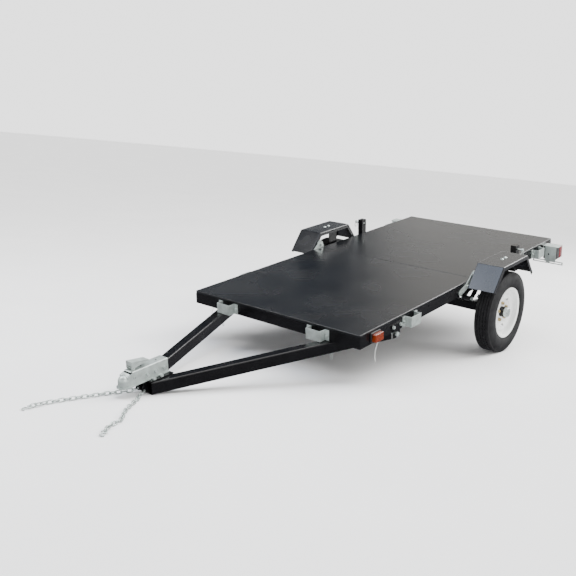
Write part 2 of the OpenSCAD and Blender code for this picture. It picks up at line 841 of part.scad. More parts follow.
module axle_tie_plates() {
    color("#17181a") both_sides() difference() {
        translate([spring_x - u_leg_x - 9, axle_y - u_leg_y - 10, tie_z])
            cube([2 * (u_leg_x + 9), 2 * (u_leg_y + 10), tie_t]);
        for (dx = [-1, 1], dy = [-1, 1])
            rod_z(u_bolt_d + 2 * bolt_gap, tie_z - 1, tie_t + 2, spring_x + dx * u_leg_x, axle_y + dy * u_leg_y);
    }
}

// Each U-bolt goes round the beam beside the spring, up through the tie plate to its nuts.
module axle_u_bolts() {
    low = axle_z - beam / 2 - u_bolt_d / 2 - touch_gap;
    bend = u_bolt_d / 2 + 2 * touch_gap;
    color("#c9ccd0") both_sides() for (dx = [-1, 1]) translate([spring_x + dx * u_leg_x, axle_y, 0]) {
        for (dy = [-1, 1]) {
            rod_z(u_bolt_d, low + bend, tie_z + tie_t + 14 - low - bend, 0, dy * u_leg_y);
            rod_z(16 / cos(30), tie_z + tie_t, 9, 0, dy * u_leg_y, 6);
        }
        rod_y(u_bolt_d, -u_leg_y + bend, 2 * (u_leg_y - bend), 0, low);
        for (side = [0, 1]) mirror([0, side, 0]) translate([0, u_leg_y - bend, low + bend])
            rotate([90, 0, 90]) rotate_extrude(angle = 90, start = 270) translate([bend, 0]) circle(d = u_bolt_d);
    }
}

module ring_x(x, l, r_out, r_in) {
    difference() {
        rod_x(2 * r_out, x, l);
        rod_x(2 * r_in, x - 1, l + 2);
    }
}

module wheel_bearings() {
    color("#a9acb0") both_sides() translate([wheel_x, axle_y, axle_z])
        for (x = [hub_in + 2, hub_out - 16 - bearing_w])
            ring_x(x, bearing_w, hub_bore_r - run_gap, spindle_d / 2);
}

// Places a wheel piece: its own origin is the wheel's centre, with +X pointing outwards.
module wheel(left) {
    on_side(left) translate([wheel_x, axle_y, axle_z]) children();
}

// Turns an outline given in (radius, x) round the wheel's axis.
module spin_x() {
    rotate([0, 90, 0]) rotate_extrude($fn = 96) children();
}

bead_r = rim_d / 2;
rim_w = 104;
rim_t = 4;
flange_r = bead_r + 14;

module hub() {
    difference() {
        union() {
            rod_x(2 * hub_r, hub_in, hub_out - hub_in);
            rod_x(2 * hub_flange_r + 20, disc_x - 10, 10);
        }
        rod_x(2 * hub_bore_r, hub_in - 1, hub_out - hub_in + 2);
        lug_places() rod_x(12 + 2 * bolt_gap, disc_x - 11, 12);
    }
}

module lug_places() {
    for (k = [0 : lug_count - 1]) rotate([360 * k / lug_count, 0, 0]) translate([0, 0, lug_circle_r]) children();
}

// Studs through the hub's flange and the wheel's disc, each with a cone nut.
module lug_nuts() {
    lug_places() {
        rod_x(12, disc_x - 14, 14 + disc_t + 18);
        rod_x(18, disc_x - 15, 5);
        rod_x(19 / cos(30), disc_x + disc_t, 15, sides = 6);
    }
}

// A thin cup over the hub's outer end.
module dust_cap() {
    cap_r = hub_r - 2;
    difference() {
        union() {
            rod_x(2 * cap_r, hub_out, 18);
            rod_x(2 * cap_r - 8, hub_out + 18, 5);
        }
        rod_x(2 * hub_bore_r, hub_out - 1, 19);
    }
}

// The rim: a rolled barrel with a drop centre, and a dished disc with vents.
module rim() {
    h = rim_w / 2;
    barrel = [
        [flange_r, -h], [bead_r, -h + 4], [bead_r, -h + 26], [bead_r - 22, -h + 36],
        [bead_r - 22, h - 44], [bead_r, h - 30], [bead_r, h - 4], [flange_r, h]
    ];
    disc = [
        [hub_r + 0.5, disc_x], [78, disc_x], [92, disc_x + 16], [bead_r - 36, disc_x + 18],
        [bead_r - 22 - rim_t, disc_x - 2]
    ];
    spin_x() polygon(strip(barrel, rim_t));
    difference() {
        spin_x() polygon(strip(disc, disc_t));
        lug_places() rod_x(12 + 2 * bolt_gap, disc_x - 2, 8);
        vents();
    }
}

// Five triangular vents between the lugs.
module vents() {
    for (k = [0 : lug_count - 1]) rotate([360 * (k + 0.5) / lug_count, 0, 0])
        translate([disc_x - 8, 0, 0]) rotate([90, 0, 90]) linear_extrude(40)
            polygon([[-11, 84], [11, 84], [0, 104]]);
}

// A bias-ply tyre's outline in (radius, x): beads, bulging walls and a grooved tread.
module tyre() {
    crown = tyre_r;
    wall_r = bead_r + 0.5 * (crown - bead_r);
    half = tyre_w / 2;
    tread = half - 14;
    function bulge(s, n) = [for (i = [0 : n]) let (t = -62 + 124 * i / n)
        [wall_r + (crown - wall_r - 4) * sin(t) / sin(62),
         s * (half - (half - 50) * pow(abs(sin(t)) / sin(62), 2.2))]];
    outer = concat(bulge(-1, 12), [[crown, -tread + 6], [crown, tread - 6]], reversed(bulge(1, 12)));
    bead_out = rim_w / 2 - 4.6;
    bead_in = bead_out - 11;
    inner = [
        [bead_r - 9, -bead_in], [bead_r + 8, -bead_in], [wall_r, -half + 9], [crown - 16, -tread + 4],
        [crown - 16, tread - 4], [wall_r, half - 9], [bead_r + 8, bead_in], [bead_r - 9, bead_in]
    ];
    difference() {
        spin_x() difference() {
            polygon(outer);
            polygon(inner);
            // The beads stand inside the rim's flanges.
            for (s = [0, 1]) mirror([0, s]) translate([bead_r - 9, bead_out])
                square([flange_r + 1.5 - bead_r + 9, half]);
            for (x = [-30, -10, 10, 30]) translate([crown - 7, x - 2.5]) square([8, 5]);
        }
        rod_x(2 * bead_r, -half, tyre_w);
    }
}

module tyre_left() { color("#202022") wheel(true) tyre(); }
module tyre_right() { color("#202022") wheel(false) tyre(); }
module rim_left() { color("#f0f0ee") wheel(true) rim(); }
module rim_right() { color("#f0f0ee") wheel(false) rim(); }
module hub_left() { color("#18181a") wheel(true) hub(); }
module hub_right() { color("#18181a") wheel(false) hub(); }
module lug_nuts_left() { color("#c8a850") wheel(true) lug_nuts(); }
module lug_nuts_right() { color("#c8a850") wheel(false) lug_nuts(); }
module dust_cap_left() { color("#c9ccd0") wheel(true) dust_cap(); }
module dust_cap_right() { color("#c9ccd0") wheel(false) dust_cap(); }

// ---------------------------------------------------------------- tongue

inner_ear_x = tube_x(tongue_pivot_y) - tube_skew_w / 2 - 14;

// Outer tabs on the side rails and inner ears under the crossmember hold the pivot bolts.
module tongue_tabs() {
    low = tongue_pivot_z - 18;
    color("#141416") both_sides() difference() {
        union() {
            translate([side_x, tongue_pivot_y - tab_w / 2, rail_mid - 15])
                cube([plate_t, tab_w, 15 + 15]);
            translate([side_x, tongue_pivot_y - 32, low]) cube([plate_t, 64, rail_mid - low]);
            translate([inner_ear_x - plate_t, tongue_pivot_y - rail_flange / 2, low])
                cube([plate_t, rail_flange, rail_bottom + rail_t - low]);
        }
        drill_x(tab_bolts, side_x - 1, plate_t + 2);
        rod_x(pivot_bolt_d + 2 * bolt_gap, inner_ear_x - plate_t - 1, side_x - inner_ear_x + 2 * plate_t + 2,
            tongue_pivot_y, tongue_pivot_z);
    }
}

module tongue_pivot_bolt() {
    x0 = inner_ear_x - plate_t;
    x1 = side_x + plate_t;
    rod_x(pivot_bolt_d, x0 - 12, x1 - x0 + 12, tongue_pivot_y, tongue_pivot_z);
    rod_x(26 / cos(30), x1, 9, tongue_pivot_y, tongue_pivot_z, 6);
    rod_x(26 / cos(30), x0 - 11, 11, tongue_pivot_y, tongue_pivot_z, 6);
}

// A tube seen from above, cut square across the trailer at both ends.
module tube_plan(inset, front, back) {
    w = tube_skew_w / 2 - inset / cos(tongue_angle);
    polygon([
        [tube_x(front) - w, front], [tube_x(front) + w, front],
        [tube_x(back) + w, back], [tube_x(back) - w, back]
    ]);
}

// A hollow tube with a pivot bush at its rear end and a lock-pin bush at the front rail.
module tongue_tube() {
    back = tongue_pivot_y + tail_past;
    px = tube_x(tongue_pivot_y);
    bush_l = tube_skew_w + 16;
    difference() {
        union() {
            difference() {
                translate([0, 0, tube_bottom]) linear_extrude(tube_h) tube_plan(0, tip_y, back);
                translate([0, 0, tube_bottom + tube_t]) linear_extrude(tube_h - 2 * tube_t)
                    tube_plan(tube_t, tip_y - 50, back + 50);
            }
            rod_x(pivot_bolt_d + 8, px - bush_l / 2, bush_l, tongue_pivot_y, tongue_pivot_z);
            rod_z(lock_pin_d + 8, tube_bottom, tube_h, tube_x(lock_pin_y), lock_pin_y);
        }
        rod_x(pivot_bolt_d + 2 * run_gap, px - 60, 120, tongue_pivot_y, tongue_pivot_z);
        rod_z(lock_pin_d + 2 * run_gap, tube_bottom - 1, tube_h + 2, tube_x(lock_pin_y), lock_pin_y);
        for (y = nose_bolt_y) rod_z(bolt_d + 2 * bolt_gap, tube_top - tube_t - 1, tube_t + 2, nose_bolt_x, y);
    }
}

module tongue_tube_left() {
    color("#111113") tongue_tube();
}

module tongue_tube_right() {
    color("#111113") mirror([1, 0, 0]) tongue_tube();
}

chain_lug_t = 5;
chain_lug_l = 30;
chain_hole_d = 16;
chain_x = 22.8;
chain_hole_y = tip_y - 17;
chain_hole_z = tube_bottom + 22;

// The plate that joins the tubes, the stub inside the coupler and two lugs for the chains.
module nose_plate() {
    color("#111113") {
        difference() {
            translate([-nose_half, tip_y, tube_top]) cube([2 * nose_half, coupler_back + 5 - tip_y, nose_t]);
            for (y = nose_bolt_y) both_sides()
                rod_z(bolt_d + 2 * bolt_gap, tube_top - 1, nose_t + 2, nose_bolt_x, y);
        }
        difference() {
            translate([-coupler_w / 2 + sheet_t, stub_front, nose_top])
                cube([coupler_w - 2 * sheet_t, coupler_back - stub_front - 4, stub_h]);
            translate([-coupler_w / 2 + sheet_t + tube_t, stub_front - 1, nose_top + tube_t])
                cube([coupler_w - 2 * sheet_t - 2 * tube_t, coupler_back - stub_front, stub_h - 2 * tube_t]);
            drill_x(coupler_bolts, -50, 100);
        }
        both_sides() difference() {
            plate_x(chain_x - chain_lug_t / 2, chain_lug_t) polygon([
                [tip_y, nose_top], [tip_y, tube_bottom + 10], [tip_y - 17, tube_bottom + 10],
                [tip_y - chain_lug_l, tube_bottom + 18], [tip_y - chain_lug_l, tube_bottom + 30],
                [tip_y - 12, nose_top]
            ]);
            rod_x(chain_hole_d, chain_x - 10, 20, chain_hole_y, chain_hole_z);
        }
    }
}

// ---------------------------------------------------------------- coupler

edge_r = 6;
lug_r = 8.5;

// The channel seen from its side: a shoulder rises from the ball's head to the flat top.
module coupler_profile(top) {
    polygon([
        [ball_y, nose_top], [ball_y, ball_z + 0.8 * head_r], [ball_y + head_r, top],
        [coupler_back, top], [coupler_back, nose_top]
    ]);
}

// A pressed channel that ends in a ball socket, with a lip along its foot.
module coupler_body() {
    w = coupler_w / 2;
    socket = ball_r + 0.4;
    back = coupler_back;
    color("#c4c7ca") difference() {
        union() {
            plate_x(-w, coupler_w) coupler_profile(coupler_top - edge_r);
            plate_x(-w + edge_r, coupler_w - 2 * edge_r) coupler_profile(coupler_top);
            for (s = [-1, 1])
                rod_y(2 * edge_r, ball_y + head_r, back - ball_y - head_r, s * (w - edge_r), coupler_top - edge_r);
            translate([0, ball_y, ball_z]) sphere(r = head_r, $fn = 64);
            rod_z(2 * head_r, nose_top, ball_z - nose_top, 0, ball_y, 64);
            rod_z(2 * (head_r + lip_out), nose_top, lip_t, 0, ball_y, 64);
            translate([-w - lip_out, ball_y, nose_top]) cube([coupler_w + 2 * lip_out, back - ball_y, lip_t]);
            for (s = [-lug_in - lug_t, lug_in]) plate_x(s, lug_t) {
                translate([latch_y, latch_z]) circle(r = lug_r);
                translate([latch_y - lug_r, coupler_top - sheet_t]) square([2 * lug_r, latch_z - coupler_top + sheet_t]);
            }
        }
        translate([0, ball_y, ball_z]) sphere(r = socket, $fn = 64);
        rod_z(2 * socket, nose_top - 1, ball_z - nose_top + 1, 0, ball_y, 64);
        translate([-w + sheet_t, ball_y + socket - 8, nose_top - 1])
            cube([coupler_w - 2 * sheet_t, back - ball_y, coupler_h - sheet_t + 1]);
        drill_x(coupler_bolts, -w - 1, coupler_w + 2);
        rod_x(clamp_pin_d + 2 * bolt_gap, -w - 1, coupler_w + 2, clamp_pin_y, clamp_pin_z);
        rod_x(latch_pin_d + 2 * bolt_gap, -w, coupler_w, latch_y, latch_z);
        for (f = [0.42, 0.8]) rod_z(11, coupler_top - 10, 12, 0, ball_y + f * (back - ball_y));
    }
}

// A jaw behind the ball that hangs from its own pin.
module ball_clamp() {
    jaw_w = 36;
    color("#9da0a4") difference() {
        union() {
            plate_x(-jaw_w / 2, jaw_w) hull_band([clamp_pin_y, clamp_pin_z], 7,
                [ball_y + ball_r + 3, ball_z - 15], 5);
            plate_x(-jaw_w / 2, jaw_w) hull_band([ball_y + ball_r + 3, ball_z - 15], 5,
                [ball_y + ball_r - 2, ball_z - 21], 4);
        }
        translate([0, ball_y, ball_z]) sphere(r = ball_r + 0.4);
        rod_x(clamp_pin_d + 2 * run_gap, -jaw_w / 2 - 1, jaw_w + 2, clamp_pin_y, clamp_pin_z);
    }
}

lever_l = 100;
lever_front = 44;
lever_rear = 27;
lever_nose = 9;
lever_t = 3;

// A bent lever: a sloping top with two side cheeks that turn on the pin between the lugs.
module latch_lever() {
    x = lug_in + lug_t + 0.5;
    y0 = latch_y - lever_nose;
    y1 = y0 + lever_l;
    front = latch_z + lever_front - 10;
    rear = latch_z + lever_rear - 10;
    color("#b3b6b9") difference() {
        union() {
            plate_x(-x - lever_t, 2 * (x + lever_t)) {
                polygon(strip([[y0, front], [y1, rear]], -lever_t));
                polygon([[y0, latch_z + 11], [y0 + lever_t, latch_z + 11], [y0 + lever_t, front - 0.5], [y0, front]]);
            }
            for (s = [-x - lever_t, x]) plate_x(s, lever_t) {
                translate([latch_y, latch_z]) circle(r = lever_nose);
                polygon([
                    [y0, latch_z], [latch_y + lever_nose, latch_z], [y0 + lever_l * 0.72, rear - 7],
                    [y1, rear - 7], [y1, rear], [y0, front]
                ]);
            }
        }
        rod_x(latch_pin_d + 2 * run_gap, -x - 10, 2 * x + 20, latch_y, latch_z);
    }
}

module tongue_bolts() {
    w = coupler_w / 2;
    color("#d2d5d8") {
        for (p = coupler_bolts) bolt_x(-w, w, p);
        for (y = nose_bolt_y) both_sides() {
            rod_z(bolt_d, tube_top - tube_t - 10, nose_t + tube_t + 10, nose_bolt_x, y);
            rod_z(17 / cos(30), nose_top, 7, nose_bolt_x, y, 6);
            rod_z(17 / cos(30), tube_top - tube_t - 8, 8, nose_bolt_x, y, 6);
        }
        rod_x(clamp_pin_d, -w - 4, coupler_w + 8, clamp_pin_y, clamp_pin_z);
        for (s = [-w - 4, w]) rod_x(clamp_pin_d + 6, s, 4, clamp_pin_y, clamp_pin_z);
        rod_x(latch_pin_d, -lug_in - lug_t - lever_t - 4, 2 * (lug_in + lug_t + lever_t + 4), latch_y, latch_z);
    }
}

// A pin up through the tube and the front rail, with a head and a hairpin clip below.
module tongue_pin() {
    px = tube_x(lock_pin_y);
    tip = rail_bottom + rail_t + 2;
    head = tube_bottom - 10;
    color("#c9ccd0") {
        rod_z(lock_pin_d, head, tip - head, px, lock_pin_y);
        rod_z(lock_pin_d + 12, tube_bottom - 5, 4.5, px, lock_pin_y);
        // The hairpin clip hangs from a hole in the pin's foot.
        translate([px - 2, lock_pin_y, tube_bottom - 40]) {
            for (dx = [-5, 5]) rod_z(2.6, 0, 30.5, dx + 2, 0);
            translate([2, 0, 0]) rotate([90, 180, 0])
                rotate_extrude(angle = 180) translate([5, 0]) circle(d = 2.6, $fn = 20);
        }
    }
}

module tongue_pin_left() {
    tongue_pin();
}

module tongue_pin_right() {
    mirror([1, 0, 0]) tongue_pin();
}

// ---------------------------------------------------------------- safety chains

// Chain routes in the rest frame, from the tongue's tip: x, then y, then height of the middle
// of the links above the ground.
lie = 9;
chain_left_route = [
    [22, -23, 18], [25, -36, 14], [34, -50, 11], [48, -68, lie], [66, -92, lie], [88, -121, lie],
    [114, -168, lie], [143, -215, lie], [178, -262, lie], [216, -296, lie], [240, -330, lie],
    [250, -366, lie], [262, -400, 9.6], [283, -432, 10.8], [303, -458, 10.8]
];
chain_right_route = [
    [-22, -23, 18], [-25, -36, 14], [-30, -50, 11], [-40, -76, lie], [-50, -104, lie], [-62, -143, lie],
    [-80, -220, lie], [-98, -298, lie], [-112, -370, lie], [-122, -436, 9.6], [-124, -480, 10.8],
    [-121, -526, 10.8]
];

function run(route, i = 0) = i >= len(route) - 1 ? 0 : norm(route[i + 1] - route[i]) + run(route, i + 1);

// The point at distance s along a route.
function at(route, s, i = 0) =
    let (d = norm(route[i + 1] - route[i]))
    s <= d || i == len(route) - 2 ? route[i] + (route[i + 1] - route[i]) * s / d : at(route, s - d, i + 1);

// One link along +X, made of two bars and two round ends.
module chain_link() {
    half = (link_l - link_w) / 2;
    r = (link_w - link_d) / 2;
    for (s = [-1, 1]) rod_x(link_d, -half, 2 * half, s * r, 0, 20);
    for (side = [0, 1]) mirror([side, 0, 0]) translate([half, 0, 0])
        rotate_extrude(angle = 180, start = -90) translate([r, 0]) circle(d = link_d, $fn = 20);
}

link_slack = 0.8;
link_pitch = link_l - 2 * link_d - link_slack;
function link_count(route) = floor(run(route) / link_pitch);

// Links lie at 45 degrees, each a quarter turn from the last. The first lies flat in its lug,
// and the last stands upright in the hook, so the links between turn a little further.
function link_roll(k, n) =
    90 * k + 15 * min(k, 3) + (n % 2 == 0 ? -15 : 15) * max(0, k - n + 4);

module chain(route) {
    n = link_count(route);
    translate([0, tip_rest_y, 0]) for (k = [0 : n - 1]) {
        a = at(route, k * link_pitch);
        b = at(route, (k + 1) * link_pitch);
        v = b - a;
        translate((a + b) / 2) rotate([0, -asin(v[2] / norm(v)), atan2(v[1], v[0])])
            rotate([link_roll(k, n), 0, 0]) chain_link();
    }
}

hook_r = 11;
hook_wire = 6;
hook_in = 4;
hook_high = 9.5;

// An S-hook: one bow through the last link, the other open bow down on the ground.
module chain_hook(route) {
    n = link_count(route);
    a = at(route, (n - 1) * link_pitch);
    b = at(route, n * link_pitch);
    v = b - a;
    dip = asin((hook_high - hook_wire / 2 - 0.3) / (4 * hook_r));
    color("#c9ccd0") translate([b[0], b[1] + tip_rest_y, hook_high])
        rotate([0, dip, atan2(v[1], v[0])]) translate([hook_r - hook_in, 0, 0]) {
            rotate_extrude(angle = 270) translate([hook_r, 0]) circle(d = hook_wire, $fn = 20);
            translate([2 * hook_r, 0, 0]) rotate_extrude(angle = 230, start = 180)
                translate([hook_r, 0]) circle(d = hook_wire, $fn = 20);
        }
}

module safety_chain_left() {
    color("#c9ccd0") chain(chain_left_route);
}

module safety_chain_right() {
    color("#c9ccd0") chain(chain_right_route);
}

module chain_hook_left() {
    chain_hook(chain_left_route);
}

module chain_hook_right() {
    chain_hook(chain_right_route);
}

// ---------------------------------------------------------------- the nodes

at_rest() rear_side_rails();
at_rest() rear_end_rails();
at_rest() rear_crossmembers();
at_rest() rear_deck();
at_rest() rear_hinge_plates();
at_rest() hinge_pins();
at_rest() fender_left();
at_rest() fender_right();
at_rest() fender_brackets();
at_rest() spring_hangers();
at_rest() leaf_spring_left();
at_rest() leaf_spring_right();
at_rest() lock_posts();
at_rest() tail_lamp_brackets();
at_rest() tail_lamp_housings();
at_rest() tail_lamp_lenses();
at_rest() licence_bar();
at_rest() rear_stake_pockets();
at_rest() rear_bolts();
at_rest() axle_beam();
at_rest() axle_tie_plates();
at_rest() axle_u_bolts();
at_rest() wheel_bearings();
at_rest() tyre_left();
at_rest() rim_left();
at_rest() hub_left();
at_rest() lug_nuts_left();
at_rest() dust_cap_left();
at_rest() tyre_right();
at_rest() rim_right();
at_rest() hub_right();
at_rest() lug_nuts_right();
at_rest() dust_cap_right();
at_rest() front_side_rails();
at_rest() front_end_rails();
at_rest() front_crossmembers();
at_rest() front_deck();
at_rest() front_hinge_plates();
at_rest() front_stake_pockets();
at_rest() marker_lamp_bases();
at_rest() marker_lamp_lenses();
at_rest() marker_wire_left();
at_rest() marker_wire_right();
at_rest() tongue_tabs();
at_rest() front_bolts();
at_rest() tongue_tube_left();
at_rest() tongue_tube_right();
at_rest() nose_plate();
at_rest() coupler_body();
at_rest() tongue_bolts();
safety_chain_left();
safety_chain_right();
chain_hook_left();
chain_hook_right();
at_rest() latch_lever();
at_rest() ball_clamp();
at_rest() tongue_pin_left();
at_rest() tongue_pin_right();
at_rest() fold_pin_left();
at_rest() fold_pin_right();
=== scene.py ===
"""Finished surfaces, materials and studio of a folding flatbed trailer, round its CAD frame."""

import json
import math

import bmesh
import bpy
import numpy as np
from bpy.props import FloatProperty, FloatVectorProperty, IntProperty, PointerProperty
from bpy.types import Operator, Panel, PropertyGroup
from mathutils import Matrix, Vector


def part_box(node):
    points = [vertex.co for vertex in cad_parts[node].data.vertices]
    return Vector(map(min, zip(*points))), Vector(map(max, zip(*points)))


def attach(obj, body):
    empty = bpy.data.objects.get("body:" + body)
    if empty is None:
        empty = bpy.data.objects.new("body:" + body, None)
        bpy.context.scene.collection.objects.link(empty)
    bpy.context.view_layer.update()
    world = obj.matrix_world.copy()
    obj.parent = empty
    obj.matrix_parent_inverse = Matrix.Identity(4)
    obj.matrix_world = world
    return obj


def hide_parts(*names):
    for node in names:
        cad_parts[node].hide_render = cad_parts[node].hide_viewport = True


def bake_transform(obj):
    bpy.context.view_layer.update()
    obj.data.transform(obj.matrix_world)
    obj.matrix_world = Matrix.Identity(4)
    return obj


bl_info = {
    "name": "Folding Trailer",
    "version": (1, 0, 0),
    "blender": (4, 5, 0),
    "location": "View3D > Sidebar > Trailer",
    "description": "Builds the finished surfaces of a folding flatbed trailer",
    "category": "Add Mesh",
}

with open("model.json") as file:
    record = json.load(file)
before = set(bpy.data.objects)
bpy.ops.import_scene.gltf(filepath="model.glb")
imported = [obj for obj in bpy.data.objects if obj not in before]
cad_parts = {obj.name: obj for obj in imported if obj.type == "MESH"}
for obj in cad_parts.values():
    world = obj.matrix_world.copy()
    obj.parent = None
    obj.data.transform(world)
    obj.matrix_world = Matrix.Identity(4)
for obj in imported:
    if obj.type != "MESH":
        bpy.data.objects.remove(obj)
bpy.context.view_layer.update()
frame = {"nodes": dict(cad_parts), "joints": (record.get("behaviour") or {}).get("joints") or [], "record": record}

# ---------------- the deck frame

# The trailer stands nose down, so shapes are worked out level and then tipped. In the deck frame
# the deck's top is z = 0, the fold line is y = 0, forward is -Y and the trailer's left is +X.
PIVOT_RISE = 0.022  # of the fold hinge over the deck's top


def named(rows, name):
    """The row of a list of records that has this name."""
    return [row for row in rows if row["name"] == name][0]


DECK_NORMAL = np.array(named(frame["record"]["mounts"], "rear_deck_top")["axis"])
TILT = math.atan2(-DECK_NORMAL[1], DECK_NORMAL[2])
TIP = np.array([
    [1, 0, 0],
    [0, math.cos(TILT), -math.sin(TILT)],
    [0, math.sin(TILT), math.cos(TILT)],
])
HINGE = np.array(named(frame["joints"], "deck_fold")["pos_m"])
DECK_ORIGIN = HINGE - PIVOT_RISE * TIP[:, 2]
SIDES = {"left": 1, "right": -1}


def to_rest(points):
    """Tips points of the deck frame into the rest frame."""
    return np.asarray(points, float) @ TIP.T + DECK_ORIGIN


def to_deck(points):
    """Lays points of the rest frame level, into the deck frame."""
    return (np.asarray(points, float) - DECK_ORIGIN) @ TIP


def node_points(node, side=0):
    """The corners of a CAD node in the deck frame, on one side only if side is 1 or -1."""
    mesh = frame["nodes"][node].data
    flat = np.empty(len(mesh.vertices) * 3)
    mesh.vertices.foreach_get("co", flat)
    points = to_deck(flat.reshape(-1, 3))
    return points[points[:, 0] * side > 0] if side else points


def node_box(node, side=0):
    """The lowest and highest corner of a CAD node in the deck frame."""
    points = node_points(node, side)
    return points.min(0), points.max(0)


# ---------------- sizes and colours

def length(name, description, default, low, high):
    return FloatProperty(
        name=name, description=description, default=default, min=low, max=high, unit="LENGTH")


def colour(name, description, default):
    return FloatVectorProperty(
        name=name, description=description, default=default, size=3, min=0, max=1,
        subtype="COLOR")


class TrailerSizes(PropertyGroup):
    """Sizes of the finish that a user would change"""
    sheet_edge: length(
        "Sheet Edge", "Radius of the edges of plates and channels", 0.0012, 0.0002, 0.003)
    deck_edge: length("Deck Edge", "Radius of the deck panels' edges", 0.003, 0.001, 0.006)
    deck_corner: length(
        "Deck Corner", "Radius of the deck panels' corners in plan", 0.006, 0.002, 0.02)
    tube_corner: length(
        "Tube Corner", "Outer radius of the tongue tubes' corners", 0.006, 0.002, 0.012)
    fender_bend: length(
        "Fender Bend", "Radius of the bends across the fenders", 0.008, 0.003, 0.02)
    tread_steps: IntProperty(
        name="Tread Steps", description="Number of zigzags round each tyre",
        default=64, min=24, max=96)
    groove_depth: length("Groove Depth", "Depth of the tyres' grooves", 0.006, 0.002, 0.008)


class TrailerColours(PropertyGroup):
    """Colours of the finishes, as linear red, green and blue"""
    frame_black: colour(
        "Frame Black", "Powder coat on the frame and tongue", (0.003, 0.003, 0.0035))
    deck_black: colour("Deck Black", "Film on the deck panels", (0.004, 0.0045, 0.0055))
    fender_black: colour("Fender Black", "Paint on the fenders", (0.005, 0.0055, 0.007))
    zinc: colour("Zinc", "Bright zinc plating", (0.44, 0.49, 0.47))
    rim_white: colour("Rim White", "Paint on the rims", (0.80, 0.81, 0.80))
    lens_red: colour("Lens Red", "Tail lamp lenses", (0.17, 0.004, 0.008))
    lens_amber: colour("Lens Amber", "Marker lamp lenses", (0.17, 0.020, 0.0015))


def sizes():
    return bpy.context.scene.trailer_sizes


def colours():
    return bpy.context.scene.trailer_colours


# ---------------- surfaces

def grid_faces(rows, cols, round_rows=False, round_cols=False, start=0):
    """The quads of a grid of points in row order, closed round its rows or columns if asked."""
    i, j = np.meshgrid(
        np.arange(rows - (not round_rows)), np.arange(cols - (not round_cols)), indexing="ij")
    i2, j2 = (i + 1) % rows, (j + 1) % cols
    quads = np.stack([i * cols + j, i2 * cols + j, i2 * cols + j2, i * cols + j2], -1)
    return quads.reshape(-1, 4) + start


class Shape:
    """A mesh in the making: points of the deck frame, and faces as lists of point numbers."""

    def __init__(self):
        self.points = []
        self.faces = []
        self.count = 0

    def add(self, points, faces):
        """Adds points, an array of n x 3, with faces that count from its first point."""
        self.points.append(np.asarray(points, float).reshape(-1, 3))
        self.faces += [[int(k) + self.count for k in face] for face in faces]
        self.count += len(self.points[-1])

    def loft(self, rings, caps=True, round_rows=False):
        """Skins rings, an array of m x n x 3 of closed loops, and caps the first and the last."""
        m, n = rings.shape[:2]
        faces = grid_faces(m, n, round_rows, True).tolist()
        if caps and not round_rows:
            faces += [list(range(n)), list(range((m - 1) * n, m * n))[::-1]]
        self.add(rings, faces)

    def piece(self, name, material, body, tip=True, sharp=35, merge=1e-6):
        """Makes the mesh, tipped unless its points are at rest already, and puts it on a body."""
        points = np.concatenate(self.points)
        mesh = bpy.data.meshes.new(name)
        mesh.from_pydata((to_rest(points) if tip else points).tolist(), [], self.faces)
        tidy_mesh(mesh, merge, sharp)
        return place(bpy.data.objects.new(name, mesh), material, body)


def tidy_mesh(mesh, merge, sharp, flat=None):
    """Merges doubled points, dissolves seams flatter than flat degrees if asked, turns faces
    outwards and sets edges over sharp degrees sharp."""
    work = bmesh.new()
    work.from_mesh(mesh)
    bmesh.ops.remove_doubles(work, verts=work.verts, dist=merge)
    if flat is not None:
        bmesh.ops.dissolve_limit(
            work, angle_limit=math.radians(flat), verts=work.verts, edges=work.edges)
    bmesh.ops.recalc_face_normals(work, faces=work.faces)
    work.to_mesh(mesh)
    work.free()
    mesh.shade_smooth()
    mesh.set_sharp_from_angle(angle=math.radians(sharp))


BEVEL_ANGLE = 40  # degrees: edges that turn by less stay as they are


def place(obj, material, body, bevel=0.0):
    """Links a finished piece, gives it its material, and makes it ride on its body."""
    bpy.context.scene.collection.objects.link(obj)
    obj.data.materials.clear()
    obj.data.materials.append(finish(material))
    if bevel:
        mod = obj.modifiers.new("Edges", "BEVEL")
        mod.width = bevel
        mod.segments = 2
        mod.limit_method = "ANGLE"
        mod.angle_limit = math.radians(BEVEL_ANGLE)
        mod.harden_normals = True
    if body:
        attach(obj, body)
    return obj


def body_of(node):
    """The body that a CAD node belongs to."""
    for body, nodes in frame["record"]["behaviour"]["bodies"].items():
        if node in nodes:
            return body
    raise ValueError(f"{node} is on no body")


def slot_of(node):
    """The material slot that the record gives a CAD node."""
    rows = frame["record"]["subparts"]
    return [row["material_slot"] for row in rows if row["node"] == node][0]


def eased(node, edge):
    """A copy of a CAD node, with whole flat faces and eased edges, which stands for it."""
    mesh = frame["nodes"][node].data.copy()
    mesh.name = f"{node}_eased"
    tidy_mesh(mesh, 1e-5, 30, flat=1.0)
    obj = place(bpy.data.objects.new(mesh.name, mesh), slot_of(node), body_of(node), edge)
    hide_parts(node)
    return obj


def repaint(*nodes):
    """Gives CAD nodes that keep their own mesh the finish of their slot."""
    for node in nodes:
        obj = frame["nodes"][node]
        for socket in obj.material_slots:
            socket.material = finish(slot_of(node))
        if not obj.material_slots:
            obj.data.materials.append(finish(slot_of(node)))


# How far into a flat face its first row of points lies, so that the face shades flat.
FLAT_START = 0.0004


